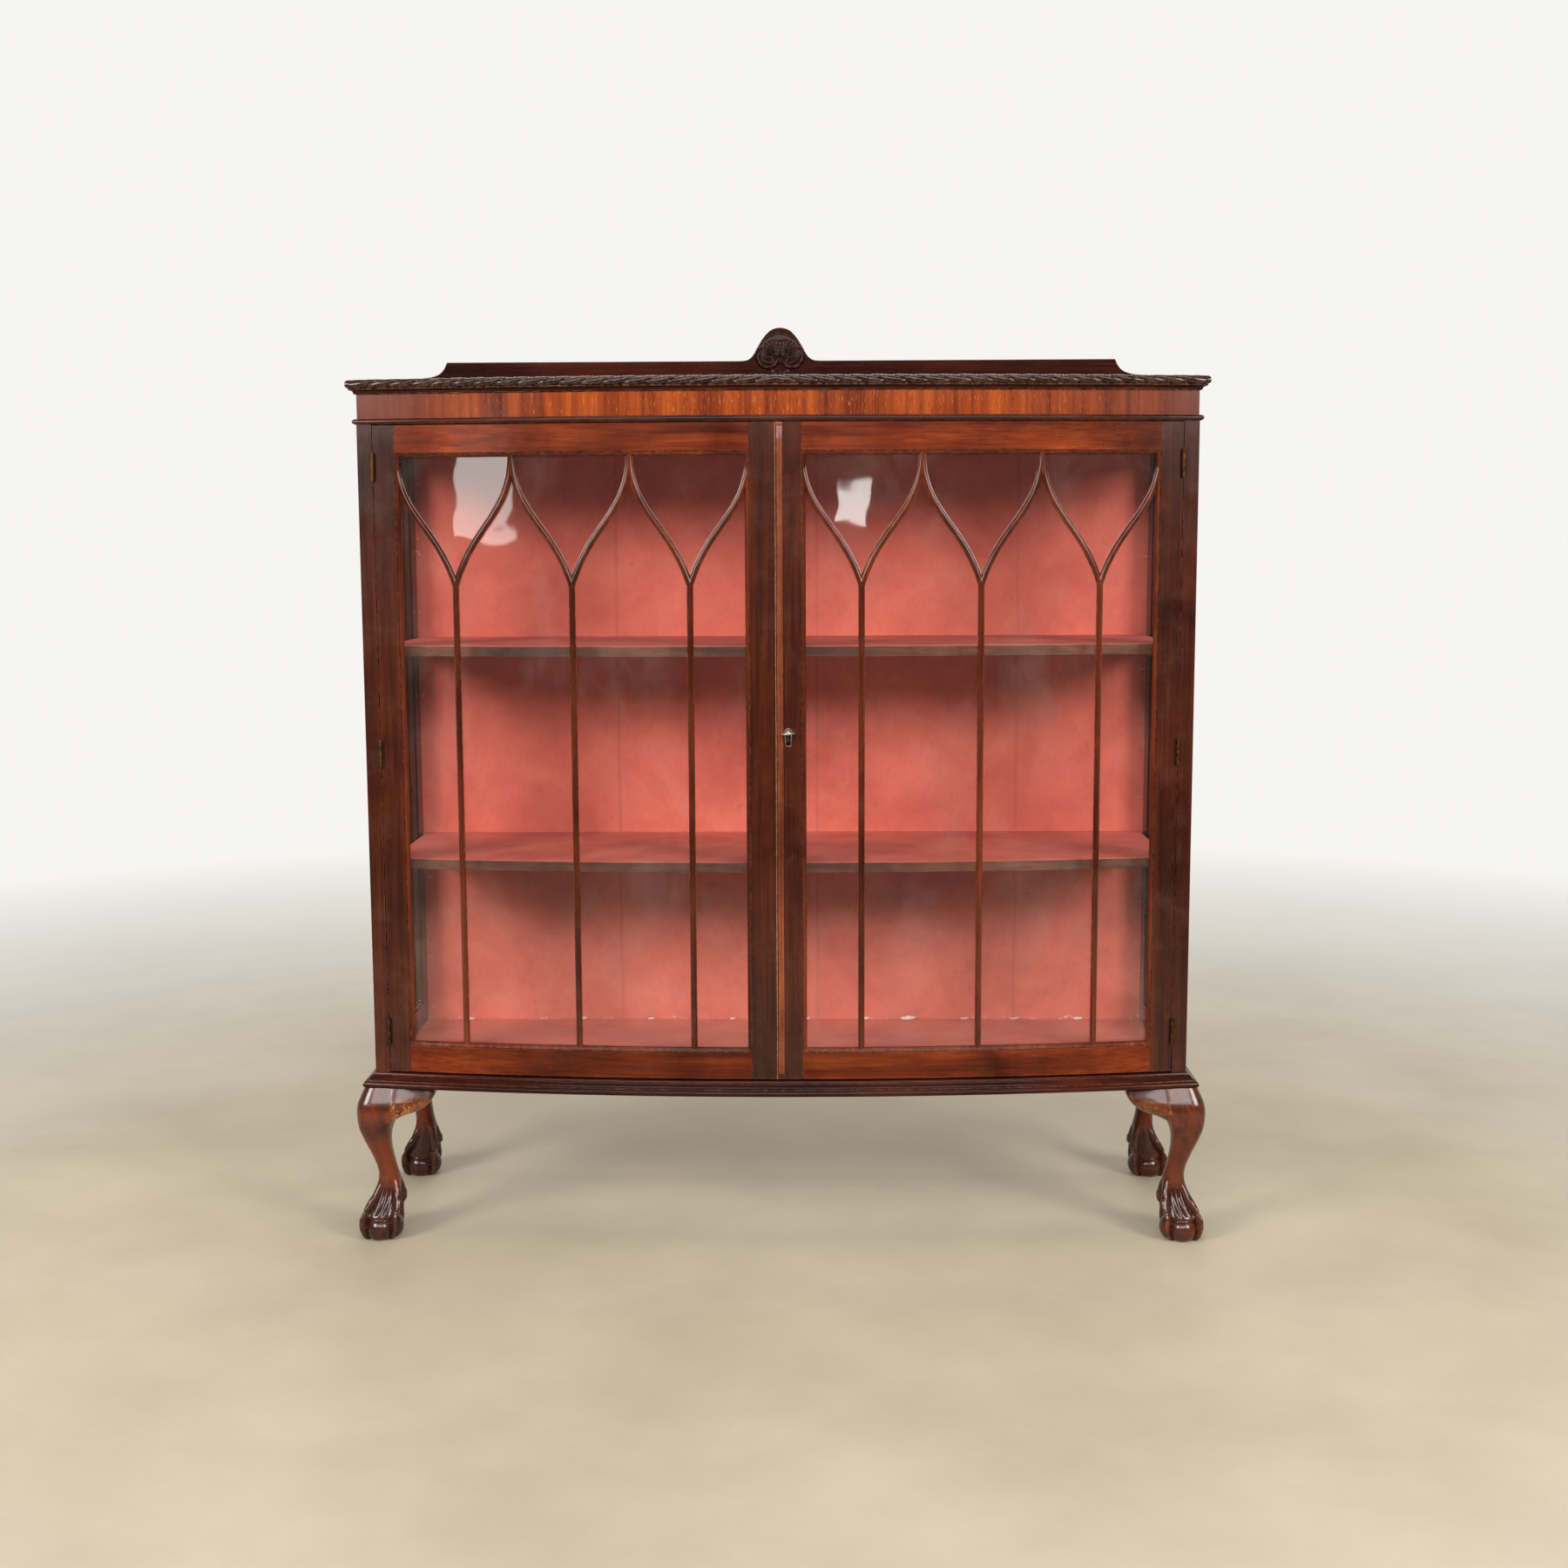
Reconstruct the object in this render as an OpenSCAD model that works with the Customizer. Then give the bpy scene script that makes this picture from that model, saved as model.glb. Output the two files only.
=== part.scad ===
// China cabinet with a bowed front, two glazed doors with fretwork, and ball-and-claw legs.
// Units are millimetres. +Z is up, the front faces -Y, the feet stand on Z = 0.

/* [Case] */
// Half width of the case, side face to centre line
case_half = 590; // [450:5:750]
// How far the front bulges at the centre line
bow_rise = 49; // [20:1:80]
// Depth of the case at its corners
case_depth = 305; // [250:5:450]
// Width of the front strip of a post
post_w = 21.4; // [15:0.1:40]
// Depth of a front post
post_front_d = 32; // [20:1:60]
// Depth of a rear post
post_rear_d = 55; // [30:1:90]
// Underside of the base frame
base_z = 228.5; // [150:0.5:300]
// Top of the base moulding, where the posts stand
deck_z = 249; // [170:0.5:320]
// Top of the posts
post_top_z = 1180; // [900:1:1500]
// Top of the lower bead, where the frieze starts
frieze_z = 1188; // [905:1:1510]
// Underside of the top board
lid_z = 1222; // [930:1:1560]
// Joint between the cornice moulding and the gadroon edge
gadroon_z = 1230; // [935:1:1570]
// Upper face of the top board
top_z = 1241; // [940:1:1580]

/* [Doors] */
// Bottom edge of the doors
door_z0 = 251; // [180:0.5:330]
// Top edge of the doors
door_z1 = 1178.5; // [890:0.5:1490]
// Bottom of the glass openings
open_z0 = 290; // [200:1:380]
// Top of the glass openings
open_z1 = 1140; // [860:1:1450]
// Thickness of the door frames
door_t = 20; // [14:1:30]
// Distance from the centre line to a door's hinge edge
door_outer = 567.4; // [430:0.1:730]
// Width of a hinge stile
hinge_stile_w = 31.2; // [20:0.1:60]
// Left door, X of its meeting edge
left_meet = -2.2; // [-6:0.1:-1]
// Left door, X of its glass opening beside the meeting stile
left_open = -38; // [-60:0.5:-20]
// Right door, X of its meeting edge
right_meet = -0.8; // [-1.5:0.1:0]
// Right door, X of its glass opening beside the meeting stile
right_open = 34.5; // [20:0.5:60]
// Width of the closing bead
closing_w = 8; // [5:0.5:20]
// Width of the moulding round a glass opening
glaze_w = 6; // [3:0.5:12]
// Thickness of the glass
glass_t = 3; // [2:0.5:6]

/* [Fretwork] */
// Number of arches in a door
bays = 3; // [2:1:5]
// Height where a stem parts into two branches
fork_z = 955; // [700:5:1100]
// Width of a stem
stem_w = 9; // [4:0.5:15]
// Width of a branch
branch_w = 8; // [4:0.5:15]

/* [Hinges] */
// Height of a hinge
hinge_h = 38; // [25:1:70]
// Centre height of the lowest hinge
hinge_low_z = 310; // [270:1:400]
// Centre height of the middle hinge
hinge_mid_z = 716.5; // [500:0.5:900]
// Centre height of the highest hinge
hinge_top_z = 1121.5; // [900:0.5:1160]
// Radius of a hinge knuckle
knuckle_r = 3; // [2:0.1:6]
// Radius of a hinge pin
pin_r = 1.5; // [1:0.1:3]
// Distance from the front corner plane to the hinge pins
pin_out = 7; // [5:0.1:12]

/* [Lock] */
// X of the key
key_x = 15.3; // [8:0.1:24]
// Height of the key
key_z = 750; // [500:1:900]
// Width of the key's bow
key_bow_d = 21; // [14:0.5:35]
// Throw of the lock bolt for a quarter turn
lock_throw = 6; // [3:0.5:8]
// X of the surface bolts on the left door
surface_bolt_x = -20; // [-30:0.5:-12]
// Throw of a surface bolt
surface_throw = 10; // [6:0.5:14]

/* [Inside] */
// Upper face of the floor board
floor_z = 256; // [240:0.5:280]
// Upper face of the upper shelf
shelf_high_z = 869; // [650:1:1000]
// Upper face of the lower shelf
shelf_low_z = 560; // [400:1:700]
// Thickness of a shelf with its lining
shelf_t = 15; // [10:0.5:30]
// Distance from the door face back to the shelf edge
shelf_set_back = 33; // [30:1:80]
// Thickness of the lining
lining_t = 0.8; // [0.5:0.1:2]

/* [Top] */
// Upper edge of the gallery board
gallery_z = 1291; // [1260:1:1400]
// Highest point of the crest
crest_z = 1341; // [1300:1:1460]
// Half length of the straight upper edge of the gallery
gallery_half = 514; // [380:1:620]
// Thickness of the gallery board
gallery_t = 15; // [10:1:25]

/* [Legs] */
// How far a knee stands out past the case
knee_out = 28; // [15:0.5:45]
// How far a ball foot stands out past the case
foot_out = 29.6; // [15:0.1:45]

/* [Colours] */
// Case and door wood
frame_wood = "#5a2818";
// Mouldings
dark_wood = "#3a1c12";
// Frieze veneer
frieze_wood = "#a8541f";
// Legs
leg_wood = "#6e3020";
// Shelves and hidden boards
plain_wood = "#8a5a38";
// Linings
pink = "#de7362";
// Glass
glass_tint = "#c8d8d4";
// Brass
brass = "#b08a3c";
// Lock iron
iron = "#6a655c";

/* [Hidden] */
$fn = 48;
eps = 0.01;
smooth = 720;

bow_r = (case_half * case_half + bow_rise * bow_rise) / (2 * bow_rise);
bow_cy = bow_r - bow_rise;
post_in = case_half - post_w;
key_tip_y = -78;
leg_back_y = case_depth - 8 + max(knee_out, foot_out);
corner_y = -(key_tip_y + leg_back_y) / 2;

back_y = 286;
back_t = 9;
lining_y = back_y - 1;

mitre_k = 0.847;
side_o = 18;

base_profile = [
  [-side_o, 228.5], [13.6, 228.5], [16, 229.6], [17, 232], [16.6, 234.6],
  [15, 236.6], [12.6, 237.2], [12.6, 239], [10.6, 239.6], [8.6, 241], [7, 243],
  [5.2, 244.6], [3.4, 245.4], [3.4, 246.8], [2.4, 248.2], [1, 249], [-side_o, 249]
];
bead_profile = [
  [-19, 1180], [2.4, 1180], [4.2, 1181], [5, 1183], [5, 1185], [4.2, 1187],
  [2.4, 1188], [-19, 1188]
];
cornice_profile = [
  [0, 1222], [2.4, 1222], [2.4, 1223.4], [3.2, 1225.2], [5, 1226.6], [7.4, 1227.2],
  [8.8, 1228.2], [9, 1230], [0, 1230]
];
gadroon_profile = [
  [0, 1230], [9.6, 1230], [11.4, 1231.6], [12.4, 1234], [12.4, 1236.6], [11.4, 1239],
  [9.6, 1240.6], [7.4, 1241], [0, 1241]
];

hinge_zs = [hinge_low_z, hinge_mid_z, hinge_top_z];
pin_x = post_in - 0.6;
leaf_t = 1.2;
leaf_back_y = 13;
leaf_front_y = -3.4;
knuckle_h = 12.4;
screw_y = 7;
screw_dz = 12;
screw_r = 1.4;
screw_len = 13;
screw_head_r = 2.55;

lock_front_y = -41;
lock_back_y = -29;
lock_x1 = 30;
lock_z0 = 728;
lock_z1 = 772;
lock_wall = 1.2;
bit_r = 7;
bit_t = 2.2;
stem_r = 2.25;
plate_face_y = -49.6;
escutcheon_t = 3;
bolt_y0 = -38.5;
bolt_y1 = -34.5;
bolt_z0 = 735;
bolt_z1 = 746;
bolt_gap = 0.3;
strike_y0 = -43;
strike_d = 12;
strike_z0 = 722;
strike_h = 37;
strike_screw_y = -37;
strike_screw_zs = [726.5, 754.5];
case_screw_zs = [lock_z0 - 3, lock_z1 + 3];

rod_y = -23.75;
rod_r = 2.5;
rod_gap = 0.05;
rod_hole_r = 3.2;
rod_len = 72;
top_rod_z0 = post_top_z - 4 - rod_len;
low_rod_z0 = floor_z + 3;
knob_shift = 31;
plate_y0 = -28.75;
plate_t = 1.2;
plate_h = 74;
top_plate_z0 = top_rod_z0 - 6;
low_plate_z0 = low_rod_z0 + 4;
staple_h = 10;
plate_screw_r = 1.2;
plate_screw_head_r = 2.2;
plate_screw_len = 7.2;
plate_screw_zs = [
  top_plate_z0 + 4.5, top_plate_z0 + 41,
  low_plate_z0 + plate_h - 4.5, low_plate_z0 + plate_h - 41
];

leg_segments = 24;
knee_flat = -25;
leg_rows = [
  // height, outer reach, inner reach, claw ridge, squareness
  [228.5, 16, -30, 0, 3.4],
  [222, 19, -30, 0, 3.4],
  [214, 22.5, -30, 0, 3.3],
  [206, knee_out - 2.5, -30, 0, 3.2],
  [197, knee_out - 0.6, -30, 0, 3],
  [188, knee_out, -29, 0, 2.9],
  [178, knee_out - 0.6, -28, 0, 2.8],
  [174, knee_out - 1.2, -24, 0, 2.6],
  [165, knee_out - 3, -21, 0, 2.4],
  [153, 21, -19.6, 0, 2.2],
  [141, 16.4, -19.6, 0, 2],
  [129, 11.6, -20.4, 0, 2],
  [117, 7.4, -22.2, 0, 2],
  [105, 4, -24.4, 0, 2],
  [94, 2.8, -27, 0.04, 2],
  [83, 3.8, -29.8, 0.1, 2],
  [72, 7, -32.4, 0.17, 2],
  [63, 12.6, -34, 0.22, 2],
  [54, 19.4, -35.2, 0.22, 2],
  [45, 25, -35.6, 0.2, 2],
  [36, foot_out - 1.2, -34.6, 0.2, 2],
  [27, foot_out, -33.4, 0.22, 2],
  [18, foot_out - 1.2, -31, 0.26, 2],
  [9, 24.6, -27, 0.3, 2],
  [0, 18, -21, 0.3, 2]
];
knee_block_profile = [
  [565, 228.5], [502, 228.5], [502, 223], [503, 217], [506, 211], [511, 204.6],
  [518, 198.6], [526, 193.6], [536, 189.6], [546, 186.4], [556, 183], [565, 179]
];

gallery_tail = [
  [gallery_half, gallery_z], [518, 1283], [523, 1276], [530, 1271], [540, 1268.4],
  [552, 1267.4], [562, 1266], [571, 1262], [578, 1255], [583, 1247], [585, top_z]
];
crest_side = [
  [0, crest_z], [10, 1339.6], [19, 1335.6], [27, 1329.6], [33.5, 1322.6],
  [38, 1315], [40, 1308], [41.6, 1302], [45, 1296], [49, 1292.6], [54, gallery_z]
];

// Helpers

function bez(a, b, c, d, t) =
  pow(1 - t, 3) * a + 3 * pow(1 - t, 2) * t * b + 3 * (1 - t) * t * t * c + pow(t, 3) * d;

function super_r(a, n) = pow(pow(abs(cos(a)), n) + pow(abs(sin(a)), n), -1 / n);

function ridge(a) = pow(abs(cos(2 * (a - 45))), 6);

function leg_point(row, k) =
  let (a = 360 * k / leg_segments)
  let (c = (row[1] + row[2]) / 2)
  let (r = (row[1] - row[2]) / 2 * super_r(a, row[4]) * (1 + row[3] * ridge(a)))
  let (lim = row[0] > 175 ? knee_flat : -100)
  [max(lim, c + r * cos(a)), max(lim, c + r * sin(a)), row[0]];

module placed() {
  translate([0, corner_y, 0]) children();
}

module both_sides() {
  children();
  mirror([1, 0, 0]) children();
}

module slab_y(y0, y1) {
  translate([0, y1, 0]) rotate([90, 0, 0]) linear_extrude(y1 - y0) children();
}

// Solid disc of the front's curve, set back by gap
module bow_disc(gap) {
  translate([0, bow_cy, -10]) cylinder(r = bow_r - gap, h = 1400, $fn = smooth);
}

// Curved board between two set-backs from the front's curve
module bowed(x0, x1, z0, z1, near, far) {
  intersection() {
    translate([x0, -150, z0]) cube([x1 - x0, 300, z1 - z0]);
    difference() {
      bow_disc(near);
      bow_disc(far);
    }
  }
}

// Flat board with a curved front edge
module bow_board(half, z0, z1, near, y1) {
  intersection() {
    translate([-half, -150, z0]) cube([2 * half, 150 + y1, z1 - z0]);
    bow_disc(near);
  }
}

// Curved frame round an opening
module bowed_ring(x0, x1, z0, z1, w, near, far) {
  difference() {
    bowed(x0, x1, z0, z1, near, far);
    bowed(x0 + w, x1 - w, z0 + w, z1 - w, near - 1, far + 1);
  }
}

// Zone in front of the two corner mitres, seen from above
module front_zone() {
  translate([0, 0, -10]) linear_extrude(1400) polygon([
    [case_half - 60, 60 * mitre_k], [case_half + 100, -100 * mitre_k],
    [case_half + 100, -300], [-case_half - 100, -300],
    [-case_half - 100, -100 * mitre_k], [-case_half + 60, 60 * mitre_k]
  ]);
}

// Zone beside the right corner mitre, seen from above
module side_zone() {
  translate([0, 0, -10]) linear_extrude(1400) polygon([
    [case_half - 60, 60 * mitre_k], [case_half + 100, -100 * mitre_k],
    [case_half + 100, case_depth], [case_half - 60, case_depth]
  ]);
}

// Strip of a profile along the bowed front, cut at the mitres
module front_strip(profile) {
  intersection() {
    translate([0, bow_cy, 0]) rotate([0, 0, -101.5])
      rotate_extrude(angle = 23, $fn = smooth)
        polygon([for (p = profile) [bow_r + p[0], p[1]]]);
    front_zone();
  }
}

// Strip of a profile along the right side, cut at the mitre
module side_strip(profile) {
  intersection() {
    translate([case_half, case_depth, 0]) rotate([90, 0, 0])
      linear_extrude(case_depth + 100) polygon(profile);
    side_zone();
  }
}

module wrap_strip(profile) {
  front_strip(profile);
  both_sides() side_strip(profile);
}

// Top

module top_board() {
  color(frame_wood) placed() bow_board(case_half, lid_z, top_z, 0, case_depth);
}

module cornice_moulding() {
  color(dark_wood) placed() wrap_strip(cornice_profile);
}

module gadroon_edge() {
  color(dark_wood) placed() wrap_strip(gadroon_profile);
}

module gallery_board() {
  color(dark_wood) placed() slab_y(case_depth - gallery_t, case_depth) polygon(concat(
    crest_side, gallery_tail,
    [for (i = [len(gallery_tail) - 1 : -1 : 0]) [-gallery_tail[i][0], gallery_tail[i][1]]],
    [for (i = [len(crest_side) - 1 : -1 : 1]) [-crest_side[i][0], crest_side[i][1]]]
  ));
}

module fan(rx, rz, lobes) {
  polygon([for (k = [0 : 6 * lobes])
    let (a = 180 * k / (6 * lobes))
    let (s = 0.93 + 0.07 * abs(sin(180 * k / 6)))
    [rx * s * cos(a), 1290 + rz * s * sin(a)]]);
}

module shell_carving() {
  color(dark_wood) placed() {
    slab_y(case_depth - gallery_t - 4, case_depth - gallery_t) union() {
      fan(33, 38, 11);
      translate([-19, 1289]) circle(r = 15);
      translate([19, 1289]) circle(r = 15);
      polygon([[-16, 1282], [16, 1282], [0, 1271]]);
    }
    slab_y(case_depth - gallery_t - 7.5, case_depth - gallery_t - 4) union() {
      fan(24, 29, 9);
      translate([-19, 1289]) circle(r = 10.5);
      translate([19, 1289]) circle(r = 10.5);
    }
  }
}

// Frieze

module frieze_front() {
  color(frieze_wood) placed() intersection() {
    bowed(-600, 600, frieze_z, lid_z, 1, 19);
    front_zone();
    translate([1 - case_half, -150, 0]) cube([2 * (case_half - 1), 300, 1300]);
  }
}

module frieze_sides() {
  color(frieze_wood) placed() both_sides()
    side_strip([[-19, frieze_z], [-1, frieze_z], [-1, lid_z], [-19, lid_z]]);
}

module bead_moulding() {
  color(dark_wood) placed() wrap_strip(bead_profile);
}

module head_rail() {
  color(plain_wood) placed() difference() {
    bowed(19 - case_half, case_half - 19, post_top_z, lid_z, 19, 60);
    translate([surface_bolt_x, rod_y, post_top_z - 1]) 
      cylinder(r = rod_hole_r, h = surface_throw + 3);
  }
}

// Posts and sides

module leaf_recess(x0) {
  for (z = hinge_zs)
    translate([x0, -6, z - hinge_h / 2]) cube([leaf_t, leaf_back_y + 6, hinge_h]);
}

module screw_holes(x0, dir) {
  for (z = hinge_zs)
    for (s = [-1, 1])
      translate([x0, screw_y, z + s * screw_dz]) rotate([0, 90 * dir, 0])
        cylinder(r = screw_r + 0.05, h = screw_len + 0.1);
}

module front_post_r() {
  difference() {
    intersection() {
      translate([post_in, -50, deck_z])
        cube([post_w, 50 + post_front_d, post_top_z - deck_z]);
      bow_disc(0);
    }
    leaf_recess(post_in);
    screw_holes(post_in, 1);
  }
}

module front_post_left() {
  color(frame_wood) placed() mirror([1, 0, 0]) front_post_r();
}

module front_post_right() {
  color(frame_wood) placed() front_post_r();
}

module rear_posts() {
  color(frame_wood) placed() both_sides()
    translate([post_in, case_depth - post_rear_d, deck_z])
      cube([post_w, post_rear_d, post_top_z - deck_z]);
}

module side_box(z0, z1) {
  translate([post_in, post_front_d, z0])
    cube([post_w, case_depth - post_rear_d - post_front_d, z1 - z0]);
}

module side_rails() {
  color(frame_wood) placed() both_sides() {
    side_box(deck_z, open_z0);
    side_box(open_z1, post_top_z);
  }
}

side_pane_x = case_half - 13;

module side_pane() {
  translate([side_pane_x, post_front_d + 0.4, open_z0 + 0.4])
    cube([glass_t, case_depth - post_rear_d - post_front_d - 0.8, open_z1 - open_z0 - 0.8]);
}

module side_glass_left() {
  color(glass_tint) placed() mirror([1, 0, 0]) side_pane();
}

module side_glass_right() {
  color(glass_tint) placed() side_pane();
}

module side_ring(x0, x1) {
  difference() {
    translate([x0, post_front_d, open_z0])
      cube([x1 - x0, case_depth - post_rear_d - post_front_d, open_z1 - open_z0]);
    translate([x0 - 1, post_front_d + glaze_w, open_z0 + glaze_w])
      cube([
        x1 - x0 + 2, case_depth - post_rear_d - post_front_d - 2 * glaze_w,
        open_z1 - open_z0 - 2 * glaze_w
      ]);
  }
}

module side_glazing_beads() {
  color(frame_wood) placed() both_sides() {
    side_ring(side_pane_x + glass_t, case_half - 2);
    side_ring(side_pane_x - 6, side_pane_x);
  }
}

// Back, floor, shelves

module back_board(x0, x1) {
  translate([x0, back_y, 243]) cube([x1 - x0, back_t, lid_z - 243]);
}

module back_boards() {
  color(plain_wood) placed() {
    back_board(-post_in, -256.3);
    back_board(-255.9, 55.8);
    back_board(56.2, 367.8);
    back_board(368.2, post_in);
  }
}

module back_lining() {
  color(pink) placed() translate([-post_in, lining_y, floor_z])
    cube([2 * post_in, back_y - lining_y, lid_z - floor_z]);
}

module low_rod_hole() {
  translate([surface_bolt_x, rod_y, low_rod_z0 - surface_throw - 3])
    cylinder(r = rod_hole_r, h = surface_throw + 10);
}

module bottom_board() {
  color(plain_wood) placed() difference() {
    union() {
      bow_board(case_half - side_o, 243, deck_z, side_o, back_y);
      bow_board(post_in, deck_z - 1, floor_z, 21, back_y);
    }
    low_rod_hole();
  }
}

module board_linings() {
  color(pink) placed() {
    difference() {
      bow_board(post_in - 0.2, floor_z, floor_z + lining_t, 22, lining_y);
      low_rod_hole();
    }
    for (z = [shelf_low_z, shelf_high_z])
      bow_board(563, z - lining_t, z, shelf_set_back + 1, lining_y);
  }
}

module shelf(z) {
  bow_board(564, z - shelf_t, z - lining_t, shelf_set_back, lining_y);
}

module shelf_upper() {
  color(plain_wood) placed() shelf(shelf_high_z);
}

module shelf_lower() {
  color(plain_wood) placed() shelf(shelf_low_z);
}

module shelf_cleats() {
  color(plain_wood) placed() both_sides()
    for (z = [shelf_low_z, shelf_high_z])
      translate([post_in - 12, 31, z - shelf_t - 12]) cube([12, lining_y - 33, 12]);
}

// Base

module base_frame() {
  color(plain_wood) placed() {
    bowed(side_o - case_half, case_half - side_o, base_z, 243, side_o, 60);
    both_sides() intersection() {
      translate([case_half - side_o - 40, -50, base_z]) cube([40, 312, 243 - base_z]);
      bow_disc(60);
    }
    translate([side_o - case_half, case_depth - 43, base_z])
      cube([2 * (case_half - side_o), 43, 243 - base_z]);
  }
}

module base_moulding() {
  color(dark_wood) placed() wrap_strip(base_profile);
}

// Legs

module leg_solid() {
  n = leg_segments;
  m = len(leg_rows);
  polyhedron(
    points = [for (row = leg_rows) for (k = [0 : n - 1]) leg_point(row, k)],
    faces = concat(
      [[for (k = [0 : n - 1]) n - 1 - k]],
      [[for (k = [0 : n - 1]) (m - 1) * n + k]],
      [for (j = [0 : m - 2]) for (k = [0 : n - 1])
        [j * n + k, j * n + (k + 1) % n, (j + 1) * n + k]],
      [for (j = [0 : m - 2]) for (k = [0 : n - 1])
        [j * n + (k + 1) % n, (j + 1) * n + (k + 1) % n, (j + 1) * n + k]]
    )
  );
}

module front_leg() {
  translate([case_half, 0, 0]) mirror([0, 1, 0]) leg_solid();
}

module rear_leg() {
  translate([case_half, case_depth - 8, 0]) leg_solid();
}

module leg_front_left() {
  color(leg_wood) placed() mirror([1, 0, 0]) front_leg();
}

module leg_front_right() {
  color(leg_wood) placed() front_leg();
}

module leg_rear_left() {
  color(leg_wood) placed() mirror([1, 0, 0]) rear_leg();
}

module leg_rear_right() {
  color(leg_wood) placed() rear_leg();
}

module side_block(y0) {
  translate([case_half - 14, y0, 0]) rotate([90, 0, 90]) linear_extrude(22) children();
}

module knee_blocks() {
  color(leg_wood) placed() both_sides() {
    intersection() {
      slab_y(-50, 50) polygon(knee_block_profile);
      bowed(500, 565, 170, base_z, -8, 14);
    }
    side_block(0) polygon([for (p = knee_block_profile) [case_half - p[0], p[1]]]);
    side_block(case_depth - 8)
      polygon([for (p = knee_block_profile) [p[0] - case_half, p[1]]]);
  }
}

// Hinges, drawn for the right door and mirrored for the left

module knuckle(z0, h) {
  translate([pin_x, -pin_out, z0]) cylinder(r = knuckle_r, h = h);
}

module tab(x0, z0, h) {
  translate([x0, -pin_out, z0]) cube([leaf_t, pin_out + leaf_front_y + eps, h]);
}

module leaf_plate(x0, z0) {
  translate([x0, leaf_front_y, z0]) cube([leaf_t, leaf_back_y - leaf_front_y, hinge_h]);
}

module leaf_cuts(z, x0, dir) {
  translate([pin_x, -pin_out, z - hinge_h]) cylinder(r = pin_r + 0.05, h = 2 * hinge_h);
  for (s = [-1, 1])
    translate([x0, screw_y, z + s * screw_dz]) rotate([0, 90 * dir, 0])
      cylinder(r1 = screw_head_r + 0.05, r2 = screw_r + 0.05, h = leaf_t);
}

module case_leaves_r() {
  for (z = hinge_zs)
    difference() {
      union() {
        leaf_plate(post_in, z - hinge_h / 2);
        for (z0 = [z - hinge_h / 2, z + hinge_h / 2 - knuckle_h]) {
          tab(post_in, z0, knuckle_h);
          knuckle(z0, knuckle_h);
        }
      }
      leaf_cuts(z, post_in, 1);
    }
}

module door_leaves_r() {
  mid_h = hinge_h - 2 * knuckle_h - 0.6;
  for (z = hinge_zs)
    difference() {
      union() {
        leaf_plate(door_outer - leaf_t, z - hinge_h / 2);
        tab(door_outer - leaf_t, z - mid_h / 2, mid_h);
        knuckle(z - mid_h / 2, mid_h);
      }
      leaf_cuts(z, door_outer, -1);
    }
}

module hinge_screw(z, x0, dir) {
  translate([x0, screw_y, z]) rotate([0, 90 * dir, 0]) union() {
    cylinder(r1 = screw_head_r, r2 = screw_r, h = leaf_t);
    translate([0, 0, leaf_t - eps]) cylinder(r = screw_r, h = screw_len - leaf_t);
  }
}

module hinge_screws_r(x0, dir) {
  for (z = hinge_zs)
    for (s = [-1, 1])
      hinge_screw(z + s * screw_dz, x0, dir);
}

module case_hinge_leaves() {
  color(brass) placed() both_sides() case_leaves_r();
}

module hinge_pins() {
  color(brass) placed() both_sides()
    for (z = hinge_zs)
      translate([pin_x, -pin_out, z - hinge_h / 2 - 1.2]) union() {
        cylinder(r = 2.3, h = 1.2);
        cylinder(r = pin_r, h = hinge_h + 2.4);
        translate([0, 0, hinge_h + 1.2]) cylinder(r = 2.3, h = 1.2);
      }
}

module case_hinge_screws() {
  color(brass) placed() both_sides() hinge_screws_r(post_in, 1);
}

// Door frames

module left_hinge_stile() {
  color(frame_wood) placed() mirror([1, 0, 0]) hinge_stile_r();
}

module hinge_stile_r() {
  difference() {
    bowed(door_outer - hinge_stile_w, door_outer, door_z0, door_z1, 0, door_t);
    leaf_recess(door_outer - leaf_t);
    screw_holes(door_outer, -1);
  }
}

module left_meeting_stile() {
  color(frame_wood) placed() difference() {
    bowed(left_open, left_meet, door_z0, door_z1, 0, door_t);
    translate([left_meet - lock_wall, strike_y0, strike_z0]) cube([2, strike_d, strike_h]);
    translate([left_meet - lock_throw - 2, bolt_y0 - 2, bolt_z0 - 1.5])
      cube([lock_throw + 3, bolt_y1 - bolt_y0 + 4, bolt_z1 - bolt_z0 + 3]);
    strike_screw_holes();
    for (z = plate_screw_zs)
      translate([surface_bolt_x, plate_y0 + plate_t, z]) rotate([90, 0, 0])
        cylinder(r = plate_screw_r + 0.05, h = plate_screw_len + 1);
  }
}

module strike_screw_holes() {
  for (z = strike_screw_zs)
    translate([left_meet - 10, strike_screw_y, z]) rotate([0, 90, 0])
      cylinder(r = screw_r + 0.05, h = 12);
}

module left_door_rails() {
  color(frame_wood) placed() {
    bowed(hinge_stile_w - door_outer, left_open, door_z0, open_z0, 0, door_t);
    bowed(hinge_stile_w - door_outer, left_open, open_z1, door_z1, 0, door_t);
  }
}

module right_hinge_stile() {
  color(frame_wood) placed() hinge_stile_r();
}

module right_meeting_stile() {
  color(frame_wood) placed() difference() {
    bowed(right_meet, right_open, door_z0, door_z1, 0, door_t);
    translate([right_meet - 1, lock_front_y, lock_z0])
      cube([lock_x1 - right_meet + 1, 20, lock_z1 - lock_z0]);
    translate([right_meet - 1, lock_back_y - 0.2, lock_z0 - 6])
      cube([lock_x1 - right_meet + 1, 20, lock_z1 - lock_z0 + 12]);
    slab_y(-60, lock_front_y + 1) keyhole(2.8, 3.4, 3.4, 14);
    slab_y(-60, plate_face_y + escutcheon_t) keyhole(5.5, 10, 8, 20);
    lock_screw_holes();
  }
}

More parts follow.
